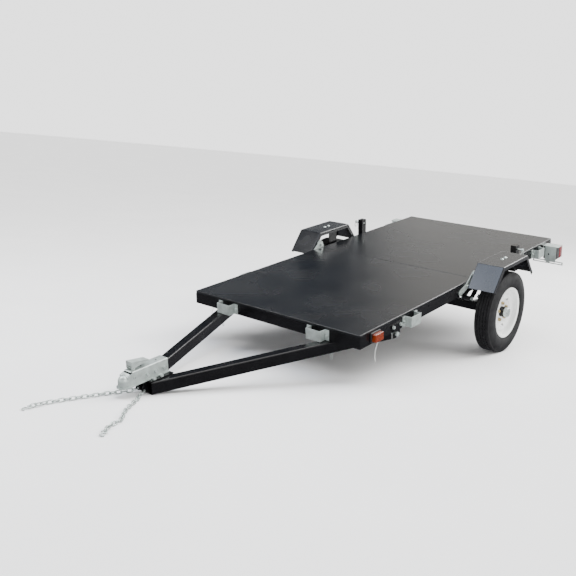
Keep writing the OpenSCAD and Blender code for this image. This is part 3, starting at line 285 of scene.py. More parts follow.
def corner_ring(lo, hi, radius, steps=5):
    """A rounded rectangle in (a, b): quarter circles of the given radius round four corner
    centres, each with one more point on the flat before it and after it."""
    centres = np.array([[hi[0], hi[1]], [lo[0], hi[1]], [lo[0], lo[1]], [hi[0], lo[1]]])
    centres = centres + radius * np.array([[-1, -1], [1, -1], [1, 1], [-1, 1]])
    t = np.linspace(0, np.pi / 2, steps)
    t = np.r_[t[0], t, t[-1]][None, :] + np.arange(4)[:, None] * np.pi / 2
    slide = np.zeros(steps + 2)
    slide[0], slide[-1] = -FLAT_START, FLAT_START
    ring = radius * np.stack([np.cos(t), np.sin(t)], -1)
    ring += slide[None, :, None] * np.stack([-np.sin(t), np.cos(t)], -1)
    return (centres[:, None, :] + ring).reshape(-1, 2)


def rounded_box(lo, hi, corner, edge, steps=4):
    """Rings of a box whose plan has round corners and whose top and bottom edges are quarter
    circles: each is the plan moved inwards by edge x (1 - sin) at edge x (1 - cos) from the end."""
    lo, hi = np.asarray(lo, float), np.asarray(hi, float)
    t = np.linspace(0, np.pi / 2, steps)
    inset = edge * (1 - np.sin(t))
    rise = edge * (1 - np.cos(t))
    inset = np.concatenate([[edge + FLAT_START], inset, inset[::-1], [edge + FLAT_START]])
    height = np.concatenate([[lo[2]], lo[2] + rise, hi[2] - rise[::-1], [hi[2]]])
    plans = [corner_ring(lo[:2] + i, hi[:2] - i, max(corner - i, 1e-4)) for i in inset]
    return np.array([np.c_[plan, np.full(len(plan), z)] for plan, z in zip(plans, height)])


def circles(axis_y, axis_z, rows, sides=32):
    """Circles about an axis along X through (y, z), one for each row of (x, radius)."""
    t = np.linspace(0, 2 * np.pi, sides, endpoint=False)
    return np.array([
        np.stack([np.full(sides, x), axis_y + r * np.cos(t), axis_z + r * np.sin(t)], -1)
        for x, r in rows])


TUBE_UP = (0.31, 0.17, 0.93)  # never along any path, so that its cross products don't vanish


def tube_rings(path, radius, sides=12):
    """Circles carried along a path, square to it, each turned the same way about the path."""
    path = np.asarray(path, float)
    along = np.gradient(path, axis=0)
    along /= np.linalg.norm(along, axis=1)[:, None]
    across = np.cross(along, TUBE_UP)
    across /= np.linalg.norm(across, axis=1)[:, None]
    third = np.cross(along, across)
    t = np.linspace(0, 2 * np.pi, sides, endpoint=False)
    return path[:, None] + radius * (
        np.cos(t)[None, :, None] * across[:, None] + np.sin(t)[None, :, None] * third[:, None])


def smooth_path(points, step):
    """A curve through points: a Catmull-Rom cubic between each pair, cut every step metres."""
    p = np.asarray(points, float)
    q = np.vstack([2 * p[0] - p[1], p, 2 * p[-1] - p[-2]])
    out = []
    for k in range(len(p) - 1):
        a, b, c, d = q[k:k + 4]
        n = max(2, int(np.ceil(np.linalg.norm(c - b) / step)))
        t = np.linspace(0, 1, n, endpoint=False)[:, None]
        out.append(0.5 * (2 * b + (c - a) * t + (2 * a - 5 * b + 4 * c - d) * t ** 2
                          + (3 * b - a - 3 * c + d) * t ** 3))
    return np.vstack(out + [p[-1:]])


# ---------------- finishes

def feed(tree, node, inputs):
    """Sets each of a node's inputs to a value, or links it to another node's output."""
    for key, value in inputs.items():
        if isinstance(value, bpy.types.NodeSocket):
            tree.links.new(value, node.inputs[key])
        else:
            node.inputs[key].default_value = value
    return node


def add_node(tree, kind, inputs):
    return feed(tree, tree.nodes.new(kind), inputs)


def spread(tree, value, low, high, to=(0.0, 1.0)):
    """A value between low and high spread over the range to, and held at its ends outside them."""
    return add_node(tree, "ShaderNodeMapRange", {
        "Value": value, "From Min": low, "From Max": high, "To Min": to[0], "To Max": to[1]})


def shade(tint, factor):
    return tuple(min(1.0, c * factor) for c in tint)


NOISE_LOW, NOISE_HIGH = 0.3, 0.7  # between which nearly all of a noise lies


class Finish:
    """A material in the making: its own shader values, and the tools to add detail to them."""

    def __init__(self, name, tint, rough, metal=0.0, coat=0.0, specular=0.5):
        self.mat = bpy.data.materials.new(name)
        self.mat.use_nodes = True
        self.mat.diffuse_color = (*tint, 1)
        self.tree = self.mat.node_tree
        self.shader({
            "Base Color": (*tint, 1), "Roughness": rough, "Metallic": metal,
            "Coat Weight": coat, "Specular IOR Level": specular})

    def shader(self, inputs):
        feed(self.tree, self.tree.nodes["Principled BSDF"], inputs)

    def add(self, kind, inputs):
        return add_node(self.tree, kind, inputs)

    def place(self):
        return self.add("ShaderNodeTexCoord", {}).outputs["Object"]

    def noise(self, scale, detail=4.0, stretch=(1, 1, 1)):
        """Fractal noise on Object coordinates, stretched along the axes if asked."""
        at = self.add("ShaderNodeMapping", {"Vector": self.place(), "Scale": stretch})
        return self.add("ShaderNodeTexNoise", {
            "Vector": at.outputs["Vector"], "Scale": scale, "Detail": detail}).outputs["Fac"]

    def vary_rough(self, noise, low, high):
        """Roughness that runs from low to high with a noise."""
        rough = spread(self.tree, noise, NOISE_LOW, NOISE_HIGH, (low, high))
        self.shader({"Roughness": rough.outputs["Result"]})

    def vary_colour(self, value, dark, light, low=NOISE_LOW, high=NOISE_HIGH):
        """Base colour that runs from dark to light as a value runs from low to high."""
        ramp = self.add("ShaderNodeValToRGB", {"Fac": value})
        for stop, at, tint in zip(ramp.color_ramp.elements, (low, high), (dark, light)):
            stop.position = at
            stop.color = (*tint, 1)
        self.shader({"Base Color": ramp.outputs["Color"]})

    def mottle(self, noise, tint, dark, light):
        """Base colour that a noise takes from dark times to light times a tint."""
        self.vary_colour(noise, shade(tint, dark), shade(tint, light))

    def bump(self, height, strength, depth):
        """Fine relief from a height."""
        relief = self.add("ShaderNodeBump", {
            "Height": height, "Strength": strength, "Distance": depth})
        self.shader({"Normal": relief.outputs["Normal"]})


def gloss_paint(name, tint, low, high, peel=0.15, specular=0.3):
    """Paint or powder coat: slow variation of gloss, a little dust in the colour, and orange
    peel."""
    paint = Finish(name, tint, low, specular=specular)
    paint.vary_rough(paint.noise(9), low, high)
    paint.mottle(paint.noise(22, 6), tint, 0.85, 1.35)
    paint.bump(paint.noise(420, 2), peel, 0.0002)
    return paint.mat


def plated(name, tint, low, high, spangle=0.2):
    """Zinc plate: a metal under a dull bloom, with soft patches and fine rolling lines."""
    plate = Finish(name, tint, low, metal=0.6)
    plate.vary_rough(plate.noise(60, 5), low, high)
    plate.mottle(plate.noise(35, 6), tint, 0.8, 1.12)
    plate.bump(plate.noise(260, 3, (1, 0.12, 1)), spangle, 0.0002)
    return plate.mat


# Painted shade on the rims' insides: the dark grey painted where shade falls inside the barrel, and the depths
# inboard of the nut face where it starts and where it is full.
RIM_PAINTED_SHADE = (0.03, 0.03, 0.031)
PAINTED_SHADE_FROM, PAINTED_SHADE_FULL = 0.003, 0.012  # metres inboard of the face that the nuts bear on


def rim_enamel():
    """White enamel outside, with painted shade over the rims' insides: the colour falls off to dark grey
    inboard of the face that the nuts bear on, where the barrel lies in shade."""
    white = tuple(colours().rim_white)
    enamel = Finish("rim", white, 0.28, specular=0.4)
    enamel.vary_rough(enamel.noise(9), 0.22, 0.34)
    split = enamel.add("ShaderNodeSeparateXYZ", {"Vector": enamel.place()})
    out = enamel.add("ShaderNodeMath", {0: split.outputs["X"]})
    out.operation = "ABSOLUTE"
    face = float(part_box("lug_nuts_left")[0].x)
    # The painted shade: the white runs to dark grey inboard of the nut face.
    depth = spread(enamel.tree, out.outputs["Value"], face - PAINTED_SHADE_FULL, face - PAINTED_SHADE_FROM)
    enamel.vary_colour(depth.outputs["Result"], RIM_PAINTED_SHADE, white, 0.0, 1.0)
    return enamel.mat


def deck_film():
    """Smooth resin film on plywood: broad cloudy patches in the gloss and the colour."""
    black = tuple(colours().deck_black)
    film = Finish("deck_panel", black, 0.3)
    film.vary_rough(film.noise(3.2, 2), 0.22, 0.30)
    film.mottle(film.noise(5, 2), black, 0.8, 1.4)
    return film.mat


def rubber():
    """Black rubber: matt, with a fine grain and a little dust."""
    black = Finish("tyre_rubber", (0.010, 0.010, 0.011), 0.62, specular=0.3)
    black.vary_rough(black.noise(18), 0.52, 0.72)
    black.vary_colour(black.noise(30, 8), (0.006, 0.006, 0.007), (0.016, 0.016, 0.017))
    black.bump(black.noise(900, 2), 0.25, 0.0003)
    return black.mat


def moulded(name, tint, rough):
    """Moulded plastic with a fine texture."""
    plastic = Finish(name, tint, rough)
    plastic.vary_rough(plastic.noise(40), rough * 0.85, min(1, rough * 1.2))
    plastic.mottle(plastic.noise(60, 5), tint, 0.85, 1.15)
    plastic.bump(plastic.noise(1400, 2), 0.2, 0.0001)
    return plastic.mat


def lens(name, tint):
    """Clear coloured plastic over a prismatic pattern of small cells."""
    clear = Finish(name, tint, 0.12, coat=0.6)
    clear.shader({"Coat Roughness": 0.04})
    cells = clear.add("ShaderNodeTexVoronoi", {"Vector": clear.place(), "Scale": 160})
    far = cells.outputs["Distance"]
    clear.vary_colour(far, shade(tint, 1.5), shade(tint, 0.7), 0.0, 0.6)
    clear.vary_rough(clear.noise(30), 0.08, 0.2)
    clear.bump(far, 0.25, 0.0008)
    return clear.mat


def finish(slot):
    """The material of a slot, made when it is first asked for."""
    found = bpy.data.materials.get(f"finish_{slot}")
    if found:
        return found
    c = colours()
    zinc = tuple(c.zinc)
    makers = {
        "deck_panel": deck_film,
        "frame_paint": lambda: gloss_paint("frame", tuple(c.frame_black), 0.16, 0.30),
        "fender_paint": lambda: gloss_paint(
            "fender", tuple(c.fender_black), 0.22, 0.30, specular=0.5),
        "rim_paint": rim_enamel,
        "spring_steel": lambda: gloss_paint("spring", (0.010, 0.010, 0.011), 0.35, 0.5, 0.3),
        "zinc_plate": lambda: plated("plate", zinc, 0.34, 0.5),
        "bright_zinc": lambda: plated("bright", shade(zinc, 1.12), 0.22, 0.36, 0.1),
        "yellow_zinc": lambda: plated("yellow", (0.42, 0.33, 0.17), 0.26, 0.38, 0.1),
        "tyre_rubber": rubber,
        "red_lens": lambda: lens("red", tuple(c.lens_red)),
        "amber_lens": lambda: lens("amber", tuple(c.lens_amber)),
        "lamp_plastic": lambda: moulded("lamp", (0.012, 0.012, 0.013), 0.45),
        "wire_sheath": lambda: moulded("wire", (0.62, 0.62, 0.61), 0.4),
    }
    mat = makers[slot]()
    mat.name = f"finish_{slot}"
    return mat


# ---------------- stage

class TRAILER_OT_stage(Operator):
    """Makes the camera, the pale floor, the surroundings and the studio lights"""
    bl_idname = "trailer.stage"
    bl_label = "Stage"

    LENS = 48.8
    CAMERA_AT = (2.765, -4.249, 1.494)
    CAMERA_RIGHT = (0.7839, 0.6209, -0.0089)
    CAMERA_UP = (-0.1892, 0.2524, 0.9490)
    SHIFT_X = -0.0556
    SENSOR = 36
    CLIP_END = 200

    def camera(self, scene):
        """The camera's axes are given in the deck frame: right, up, and right x up for its back."""
        right = TIP @ np.array(self.CAMERA_RIGHT)
        up = TIP @ np.array(self.CAMERA_UP)
        back = np.cross(right, up)
        data = bpy.data.cameras.new("camera")
        data.lens = self.LENS
        data.sensor_width = self.SENSOR
        data.shift_x = self.SHIFT_X
        data.clip_end = self.CLIP_END
        camera = bpy.data.objects.new("camera", data)
        scene.collection.objects.link(camera)
        turn = Matrix(np.c_[right, up, back].tolist()).to_4x4()
        camera.matrix_world = Matrix.Translation(to_rest(self.CAMERA_AT).tolist()) @ turn
        scene.camera = camera

    FLOOR_STEPS = 96
    FLOOR_RADII = (0.02, 4, 40)
    FLOOR_Z = -0.0005
    FLOOR_DARK = (0.88, 0.88, 0.885)
    FLOOR_LIGHT = (0.91, 0.91, 0.91)

    def floor(self):
        """A disc of pale floor with a gentle mottle, which mirrors don't see."""
        steps = self.FLOOR_STEPS
        t = np.linspace(0, 2 * np.pi, steps, endpoint=False)
        points = np.concatenate([
            np.stack([r * np.cos(t), r * np.sin(t), np.full(steps, self.FLOOR_Z)], -1)
            for r in self.FLOOR_RADII])
        faces = grid_faces(len(self.FLOOR_RADII), steps, False, True).tolist()
        mesh = bpy.data.meshes.new("floor")
        mesh.from_pydata(points.tolist(), [], faces + [list(range(steps))])
        tidy_mesh(mesh, 1e-6, 30)
        floor = bpy.data.objects.new("floor", mesh)
        bpy.context.scene.collection.objects.link(floor)
        pale = Finish("floor", (0.9, 0.9, 0.9), 0.85, specular=0.1)
        pale.vary_colour(pale.noise(1.5), self.FLOOR_DARK, self.FLOOR_LIGHT)
        mesh.materials.append(pale.mat)
        floor.visible_glossy = False

    WALL = (1.0, 1.0, 1.0, 1)
    GROUND = (0.10, 0.10, 0.11, 1)
    BRIGHT_SKY = (0.36, 0.35, 0.33, 1)
    DARK_SKY = (0.018, 0.024, 0.034, 1)
    SPLIT = (0.788, 0.616, 0.0)  # points from the sky's dark side to its bright side
    SPLIT_EDGE = (-0.01, 0.08)
    CEILING_EDGE = (0.20, 0.30)
    GROUND_EDGE = (-0.14, -0.04)
    WORLD_STRENGTH = 2.4

    def world(self, scene):
        """A pale wall all round, dark ground for what faces down, and overhead a bright side and
        a dark side, so that the level panels have something to reflect."""
        world = bpy.data.worlds.new("studio")
        scene.world = world
        world.use_nodes = True
        tree = world.node_tree
        direction = add_node(tree, "ShaderNodeTexCoord", {}).outputs["Generated"]
        up = add_node(tree, "ShaderNodeSeparateXYZ", {"Vector": direction}).outputs["Z"]
        across = add_node(tree, "ShaderNodeVectorMath", {0: direction, 1: self.SPLIT})
        across.operation = "DOT_PRODUCT"

        def step(value, edge):
            node = spread(tree, value, *edge)
            node.interpolation_type = "SMOOTHSTEP"
            return node.outputs["Result"]

        def mix(factor, below, above):
            node = tree.nodes.new("ShaderNodeMix")
            node.data_type = "RGBA"
            # Inputs 6 and 7 and output 2 are the node's colours.
            return feed(tree, node, {"Factor": factor, 6: below, 7: above}).outputs[2]

        sky = mix(step(across.outputs["Value"], self.SPLIT_EDGE), self.DARK_SKY, self.BRIGHT_SKY)
        room = mix(step(up, self.CEILING_EDGE), self.WALL, sky)
        everything = mix(step(up, self.GROUND_EDGE), self.GROUND, room)
        feed(tree, tree.nodes["Background"], {
            "Color": everything, "Strength": self.WORLD_STRENGTH})

    # Each light: its name, its place, what it faces, its width, its power and its colour.
    LAMPS = (
        ("rim", (2.2, 5.0, 4.2), (0, 0, 0.3), 2.6, 420, (1, 1, 1)),
        ("front", (-2.8, -3.4, 3.6), (0, -0.8, 0.2), 2.0, 160, (1, 1, 1)),
        ("side", (5.0, -3.5, 2.2), (0.4, -0.2, 0.3), 2.0, 90, (1, 1, 1)),
        ("blue", (-0.92, -1.60, 3.4), (0.72, 0.46, 0.52), 1.5, 42, (0.70, 0.80, 1.0)),
    )

    def lamp(self, scene, name, at, aim, size, power, tint):
        """A square soft light at one point that faces another."""
        data = bpy.data.lights.new(name, "AREA")
        data.size = size
        data.energy = power
        data.color = tint
        lamp = bpy.data.objects.new(name, data)
        scene.collection.objects.link(lamp)
        back = np.array(at, float) - np.array(aim, float)
        back /= np.linalg.norm(back)
        right = np.cross([0, 0, 1], back)
        right /= np.linalg.norm(right)
        turn = Matrix(np.c_[right, np.cross(back, right), back].tolist()).to_4x4()
        lamp.matrix_world = Matrix.Translation(at) @ turn

    SKY_POWER = 5.0
    SKY_SPREAD = math.radians(70)
    SKY_TURNS = (("X", math.radians(-22)), ("Y", math.radians(8)))

    def sky(self, scene):
        """Even light from a wide patch of sky overhead and a little behind, for soft shadows."""
        data = bpy.data.lights.new("sky", "SUN")
        data.energy = self.SKY_POWER
        data.angle = self.SKY_SPREAD
        sky = bpy.data.objects.new("sky", data)
        scene.collection.objects.link(sky)
        for axis, turn in self.SKY_TURNS:
            sky.matrix_world = sky.matrix_world @ Matrix.Rotation(turn, 4, axis)

    def execute(self, context):
        scene = context.scene
        self.camera(scene)
        self.floor()
        self.world(scene)
        self.sky(scene)
        for lamp in self.LAMPS:
            self.lamp(scene, *lamp)
        return {"FINISHED"}


# ---------------- cords

LINK_LENGTH = 0.039
LINK_WIRE = 0.0055
LINK_WIDTH = 0.021
LINK_PLAY = 0.0008
LINK_PITCH = LINK_LENGTH - 2 * LINK_WIRE - LINK_PLAY

# Routes in the rest frame, in metres from the tongue's tip: x, then y, then height above the floor.
CHAIN_ROUTES = {
    "left": [
        (0.022, -0.023, 0.018), (0.025, -0.036, 0.014), (0.034, -0.050, 0.011),
        (0.048, -0.068, 0.009), (0.066, -0.092, 0.009), (0.088, -0.121, 0.009),
        (0.114, -0.168, 0.009), (0.143, -0.215, 0.009), (0.178, -0.262, 0.009),
        (0.216, -0.296, 0.009), (0.240, -0.330, 0.009), (0.250, -0.366, 0.009),
        (0.262, -0.400, 0.0096), (0.283, -0.432, 0.0108), (0.303, -0.458, 0.0108)],
    "right": [
        (-0.022, -0.023, 0.018), (-0.025, -0.036, 0.014), (-0.030, -0.050, 0.011),
        (-0.040, -0.076, 0.009), (-0.050, -0.104, 0.009), (-0.062, -0.143, 0.009),
        (-0.080, -0.220, 0.009), (-0.098, -0.298, 0.009), (-0.112, -0.370, 0.009),
        (-0.122, -0.436, 0.0096), (-0.124, -0.480, 0.0108), (-0.121, -0.526, 0.0108)],
}
WIRE_ROUTE = [
    (0, 0, 0), (0, 0, -0.008), (-0.002, -0.002, -0.024), (-0.005, -0.006, -0.044),
    (-0.006, -0.012, -0.064), (-0.004, -0.018, -0.082), (0, -0.022, -0.098),
    (0.005, -0.024, -0.114)]
WIRE_WIDTH = 0.003
WIRE_STEP = 0.004
WIRE_BEHIND = 0.020  # from the middle of the lamp's base to the wire, along the trailer


class TRAILER_OT_safety_chains(Operator):
    """Makes the two safety chains, link by link along their routes"""
    bl_idname = "trailer.safety_chains"
    bl_label = "Safety Chains"

    FLOOR_GAP = 0.01
    END_TWIST = 15
    END_LINKS = 3

    @staticmethod
    def link_points(around=28, sides=8):
        """A link along X: a circle of wire carried round two bars and two half circles."""
        half = (LINK_LENGTH - LINK_WIDTH) / 2
        bend = (LINK_WIDTH - LINK_WIRE) / 2
        u = np.linspace(0, 2 * np.pi, around, endpoint=False) + np.pi / around
        out = np.stack([np.cos(u), np.sin(u)], -1)
        middle = bend * out + np.c_[half * np.sign(out[:, 0]), np.zeros(around)]
        v = np.linspace(0, 2 * np.pi, sides, endpoint=False)
        ring = np.stack([
            middle[:, None, 0] + LINK_WIRE / 2 * np.cos(v) * out[:, None, 0],
            middle[:, None, 1] + LINK_WIRE / 2 * np.cos(v) * out[:, None, 1],
            np.broadcast_to(LINK_WIRE / 2 * np.sin(v), (around, sides)),
        ], -1)
        return ring.reshape(-1, 3), grid_faces(around, sides, True, True)

    @staticmethod
    def stations(route):
        """Points one pitch apart along a route of straight runs."""
        route = np.array(route)
        far = np.r_[0, np.cumsum(np.linalg.norm(np.diff(route, axis=0), axis=1))]
        along = np.arange(0, far[-1], LINK_PITCH)
        return np.stack([np.interp(along, far, route[:, k]) for k in range(3)], -1)

    def chain(self, side):
        """Each link lies along its stretch, a quarter turn round from the last. The first lies
        flat in its lug, the middle ones lean, and the last stands upright in the hook."""
        rest = to_rest(node_points(f"tongue_tube_{side}"))
        tip_y = rest[rest[:, 2].argmin(), 1]
        if rest[:, 2].min() > self.FLOOR_GAP:
            raise ValueError("the tongue's tip is off the floor")
        points = self.stations(CHAIN_ROUTES[side]) + [0, tip_y, 0]
        link, faces = self.link_points()
        shape = Shape()
        count = len(points) - 1
        for k in range(count):
            a, b = points[k], points[k + 1]
            x = (b - a) / np.linalg.norm(b - a)
            y = np.cross([0, 0, 1], x)
            y /= np.linalg.norm(y)
            z = np.cross(x, y)
            twist = self.END_TWIST * (-1 if count % 2 == 0 else 1)
            roll = math.radians(90 * k + self.END_TWIST * min(k, self.END_LINKS)
                                + twist * max(0, k - count + self.END_LINKS + 1))
            c, s = math.cos(roll), math.sin(roll)
            axes = np.stack([x, c * y + s * z, -s * y + c * z])
            shape.add(link @ axes + (a + b) / 2, faces)
        obj = shape.piece(f"chain_{side}", "bright_zinc", "tongue", tip=False, sharp=80)
        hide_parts(f"safety_chain_{side}")
        return obj, points

    def execute(self, context):
        for side in SIDES:
            repaint(f"chain_hook_{side}")
            obj, points = self.chain(side)
        return {"FINISHED"}


class TRAILER_OT_marker_wires(Operator):
    """Makes the marker lamps' hanging wires"""
    bl_idname = "trailer.marker_wires"
    bl_label = "Marker Wires"

    def execute(self, context):
        for side, sign in SIDES.items():
            lo, hi = node_box("marker_lamp_bases", sign)
            start = np.array([(lo[0] + hi[0]) / 2, (lo[1] + hi[1]) / 2 + WIRE_BEHIND, lo[2]])
            path = to_rest(np.array(WIRE_ROUTE) * [sign, 1, 1] + start)
            path = smooth_path(path, WIRE_STEP)
            shape = Shape()
            shape.loft(tube_rings(path, WIRE_WIDTH / 2))
            obj = shape.piece(f"wire_{side}", "wire_sheath", "front_frame", tip=False, sharp=60)
            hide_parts(f"marker_wire_{side}")
        return {"FINISHED"}


# ---------------- deck and frame

class TRAILER_OT_deck_panels(Operator):
    """Makes the two deck panels with eased edges"""
    bl_idname = "trailer.deck_panels"
    bl_label = "Deck Panels"

    def execute(self, context):
        for half in ("front", "rear"):
            lo, hi = node_box(f"{half}_deck")
            shape = Shape()
            shape.loft(rounded_box(lo, hi, sizes().deck_corner, sizes().deck_edge))
            obj = shape.piece(f"{half}_panel", "deck_panel", f"{half}_frame", sharp=50)
            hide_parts(f"{half}_deck")
        return {"FINISHED"}


THIN_EDGE = 0.8  # the edges of thin plated sheet, as a share of the frame steel's


class TRAILER_OT_frame_steel(Operator):
    """Eases the edges of the rails, crossmembers, posts, hangers, tabs and brackets"""
    bl_idname = "trailer.frame_steel"
    bl_label = "Frame Steel"

    NODES = (
        "rear_side_rails", "rear_end_rails", "rear_crossmembers", "front_side_rails",
        "front_end_rails", "front_crossmembers", "spring_hangers", "lock_posts", "tongue_tabs",
        "fender_brackets", "axle_beam", "axle_tie_plates", "nose_plate")

    def execute(self, context):
        for node in self.NODES:
            eased(node, sizes().sheet_edge)
        return {"FINISHED"}


class TRAILER_OT_zinc_fittings(Operator):
    """Eases the edges of the plated plates, pockets and brackets, and paints the hardware"""
    bl_idname = "trailer.zinc_fittings"
    bl_label = "Zinc Fittings"

    NODES = (
        "rear_hinge_plates", "front_hinge_plates", "rear_stake_pockets", "front_stake_pockets",
        "tail_lamp_brackets", "licence_bar")
    HARDWARE = (
        "hinge_pins", "rear_bolts", "front_bolts", "tongue_bolts", "axle_u_bolts", "wheel_bearings",
        "tongue_pin_left", "tongue_pin_right", "fold_pin_left", "fold_pin_right")

    def execute(self, context):
        for node in self.NODES:
            eased(node, sizes().sheet_edge * THIN_EDGE)
        repaint(*self.HARDWARE)
        return {"FINISHED"}


# ---------------- tongue and coupler

class TRAILER_OT_tongue_tubes(Operator):
    """Makes the two rounded tubes of the A-frame tongue"""
    bl_idname = "trailer.tongue_tubes"
    bl_label = "Tongue Tubes"

    WIDTH = 0.050
    WALL = 0.003
    BUSH_R = 0.012
    BUSH_PROUD = 0.008
    END_WITHIN = 0.0005

    def tube(self, side):
        """A rounded rectangle at each end, sheared so that both ends are square to the trailer.
        The outer skin runs forward and the inner skin runs back, so that the wall closes."""
        points = node_points(f"tongue_tube_{side}")
        lo, hi = points.min(0), points.max(0)
        ends = []
        for y in (lo[1], hi[1]):
            near = points[np.abs(points[:, 1] - y) < self.END_WITHIN]
            ends.append((near[:, 0].min(), near[:, 0].max(), y))
        rings = []
        for wall, order in ((0.0, (0, 1)), (self.WALL, (1, 0))):
            radius = max(sizes().tube_corner - wall, 0.001)
            for k in order:
                x0, x1, y = ends[k]
                inset = wall * (ends[0][1] - ends[0][0]) / self.WIDTH
                ring = corner_ring((x0 + inset, lo[2] + wall), (x1 - inset, hi[2] - wall), radius)
                rings.append(np.c_[ring[:, 0], np.full(len(ring), y), ring[:, 1]])
        shape = Shape()
        shape.loft(np.array(rings), caps=False, round_rows=True)
        self.bush(shape, ends)
        obj = shape.piece(f"tongue_{side}", "frame_paint", "tongue", sharp=50)
        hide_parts(f"tongue_tube_{side}")

    def bush(self, shape, ends):
        """The bush that the pivot bolt turns in stands out of both walls: a cylinder along X."""
        pivot = to_deck(named(frame["joints"], "tongue_fold")["pos_m"])
        (near0, near1, y0), (far0, far1, y1) = ends
        share = (pivot[1] - y0) / (y1 - y0)
        x0 = near0 + share * (far0 - near0) - self.BUSH_PROUD
        x1 = near1 + share * (far1 - near1) + self.BUSH_PROUD
        shape.loft(circles(pivot[1], pivot[2], [(x0, self.BUSH_R), (x1, self.BUSH_R)]))

    def execute(self, context):
        for side in SIDES:
            self.tube(side)
        return {"FINISHED"}


class TRAILER_OT_coupler(Operator):
    """Eases the coupler's body, its latch lever and its ball clamp"""
    bl_idname = "trailer.coupler"
    bl_label = "Coupler"

    def execute(self, context):
        eased("coupler_body", sizes().sheet_edge)
        for node in ("latch_lever", "ball_clamp"):
            eased(node, sizes().sheet_edge * THIN_EDGE)
        return {"FINISHED"}


# ---------------- fenders

class TRAILER_OT_fenders(Operator):
    """Makes the fenders: a bent top with a lip along each side"""
    bl_idname = "trailer.fenders"
    bl_label = "Fenders"

    THICKNESS = 0.003
    LIP = 0.025
    LIP_BEND = 0.005
    FLAT_ROW = 0.001
    FLAT = (0.015, 0.355)

    def path(self, lo, hi):
        """The top's outline in (y, z): two slopes and a flat between them, with round bends. Each
        outer point has a partner at the lip's foot, where one mitred corner serves a whole bend."""
        y1, y2 = self.FLAT
        corners = np.array([(lo[1], lo[2]), (y1, hi[2]), (y2, hi[2]), (hi[1], lo[2])])
        corners[0], corners[3] = self.feet(corners)
        along = np.diff(corners, axis=0)
        along /= np.linalg.norm(along, axis=1)[:, None]
        inwards = np.stack([along[:, 1], -along[:, 0]], -1)
        outer, inner = [corners[0]], [corners[0] + self.LIP * inwards[0]]
        for k in (1, 2):
            a, b = inwards[k - 1], inwards[k]
            mitre = corners[k] + self.LIP * (a + b) / (1 + a @ b)
            centre = corners[k] + sizes().fender_bend * (a + b) / (1 + a @ b)
            start, end = (math.atan2(-v[1], -v[0]) for v in (a, b))
            bend = [
                centre + sizes().fender_bend * np.array([math.cos(t), math.sin(t)])
                for t in np.linspace(start, end, 7)]
            before, after = self.FLAT_ROW * along[k - 1], self.FLAT_ROW * along[k]
            outer += [bend[0] - before, *bend, bend[-1] + after]
            inner += [mitre] * (len(bend) + 2)
        outer.append(corners[3])
        inner.append(corners[3] + self.LIP * inwards[2])
        return np.array(outer), np.array(inner)

    def feet(self, corners):
        """The slopes' lower ends, from the node's box less what the lips add to it."""
        front = corners[1] - corners[0]
        front /= np.linalg.norm(front)
        rear = corners[3] - corners[2]
        rear /= np.linalg.norm(rear)
        return corners[0] + [0, self.LIP * front[0]], corners[3] + [0, self.LIP * rear[0]]

    def section(self, x0, x1):
        """Across the fender in (x, depth): up one lip, over the rounded top and down the other
        lip, then back inside."""
        t = np.linspace(0, np.pi / 2, 5)
        r, w = self.LIP_BEND, self.THICKNESS
        left = np.stack([r * (1 - np.cos(t)), r * (1 - np.sin(t))], -1)
        left = np.vstack([(0, r + self.FLAT_ROW), left, (r + self.FLAT_ROW, 0)])
        right = left[::-1] * [-1, 1] + [x1, 0]
        left = left + [x0, 0]
        inside = np.array([
            (x1 - w, self.LIP), (x1 - w, r), (x1 - r, w),
            (x0 + r, w), (x0 + w, r), (x0 + w, self.LIP)])
        return np.vstack([[(x0, self.LIP)], left, right, [(x1, self.LIP)], inside])

    def execute(self, context):
        for side in SIDES:
            lo, hi = node_box(f"fender_{side}")
            outer, inner = self.path(lo, hi)
            section = self.section(lo[0], hi[0])
            depth = section[:, 1] / self.LIP
            spot = outer[:, None] + (inner - outer)[:, None] * depth[None, :, None]
            x = np.broadcast_to(section[:, 0], spot.shape[:2])
            shape = Shape()
            shape.loft(np.concatenate([x[..., None], spot], -1))
            obj = shape.piece(
                f"fender_skin_{side}", "fender_paint", "rear_frame", sharp=30, merge=1e-5)
            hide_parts(f"fender_{side}")
        return {"FINISHED"}


# ---------------- springs

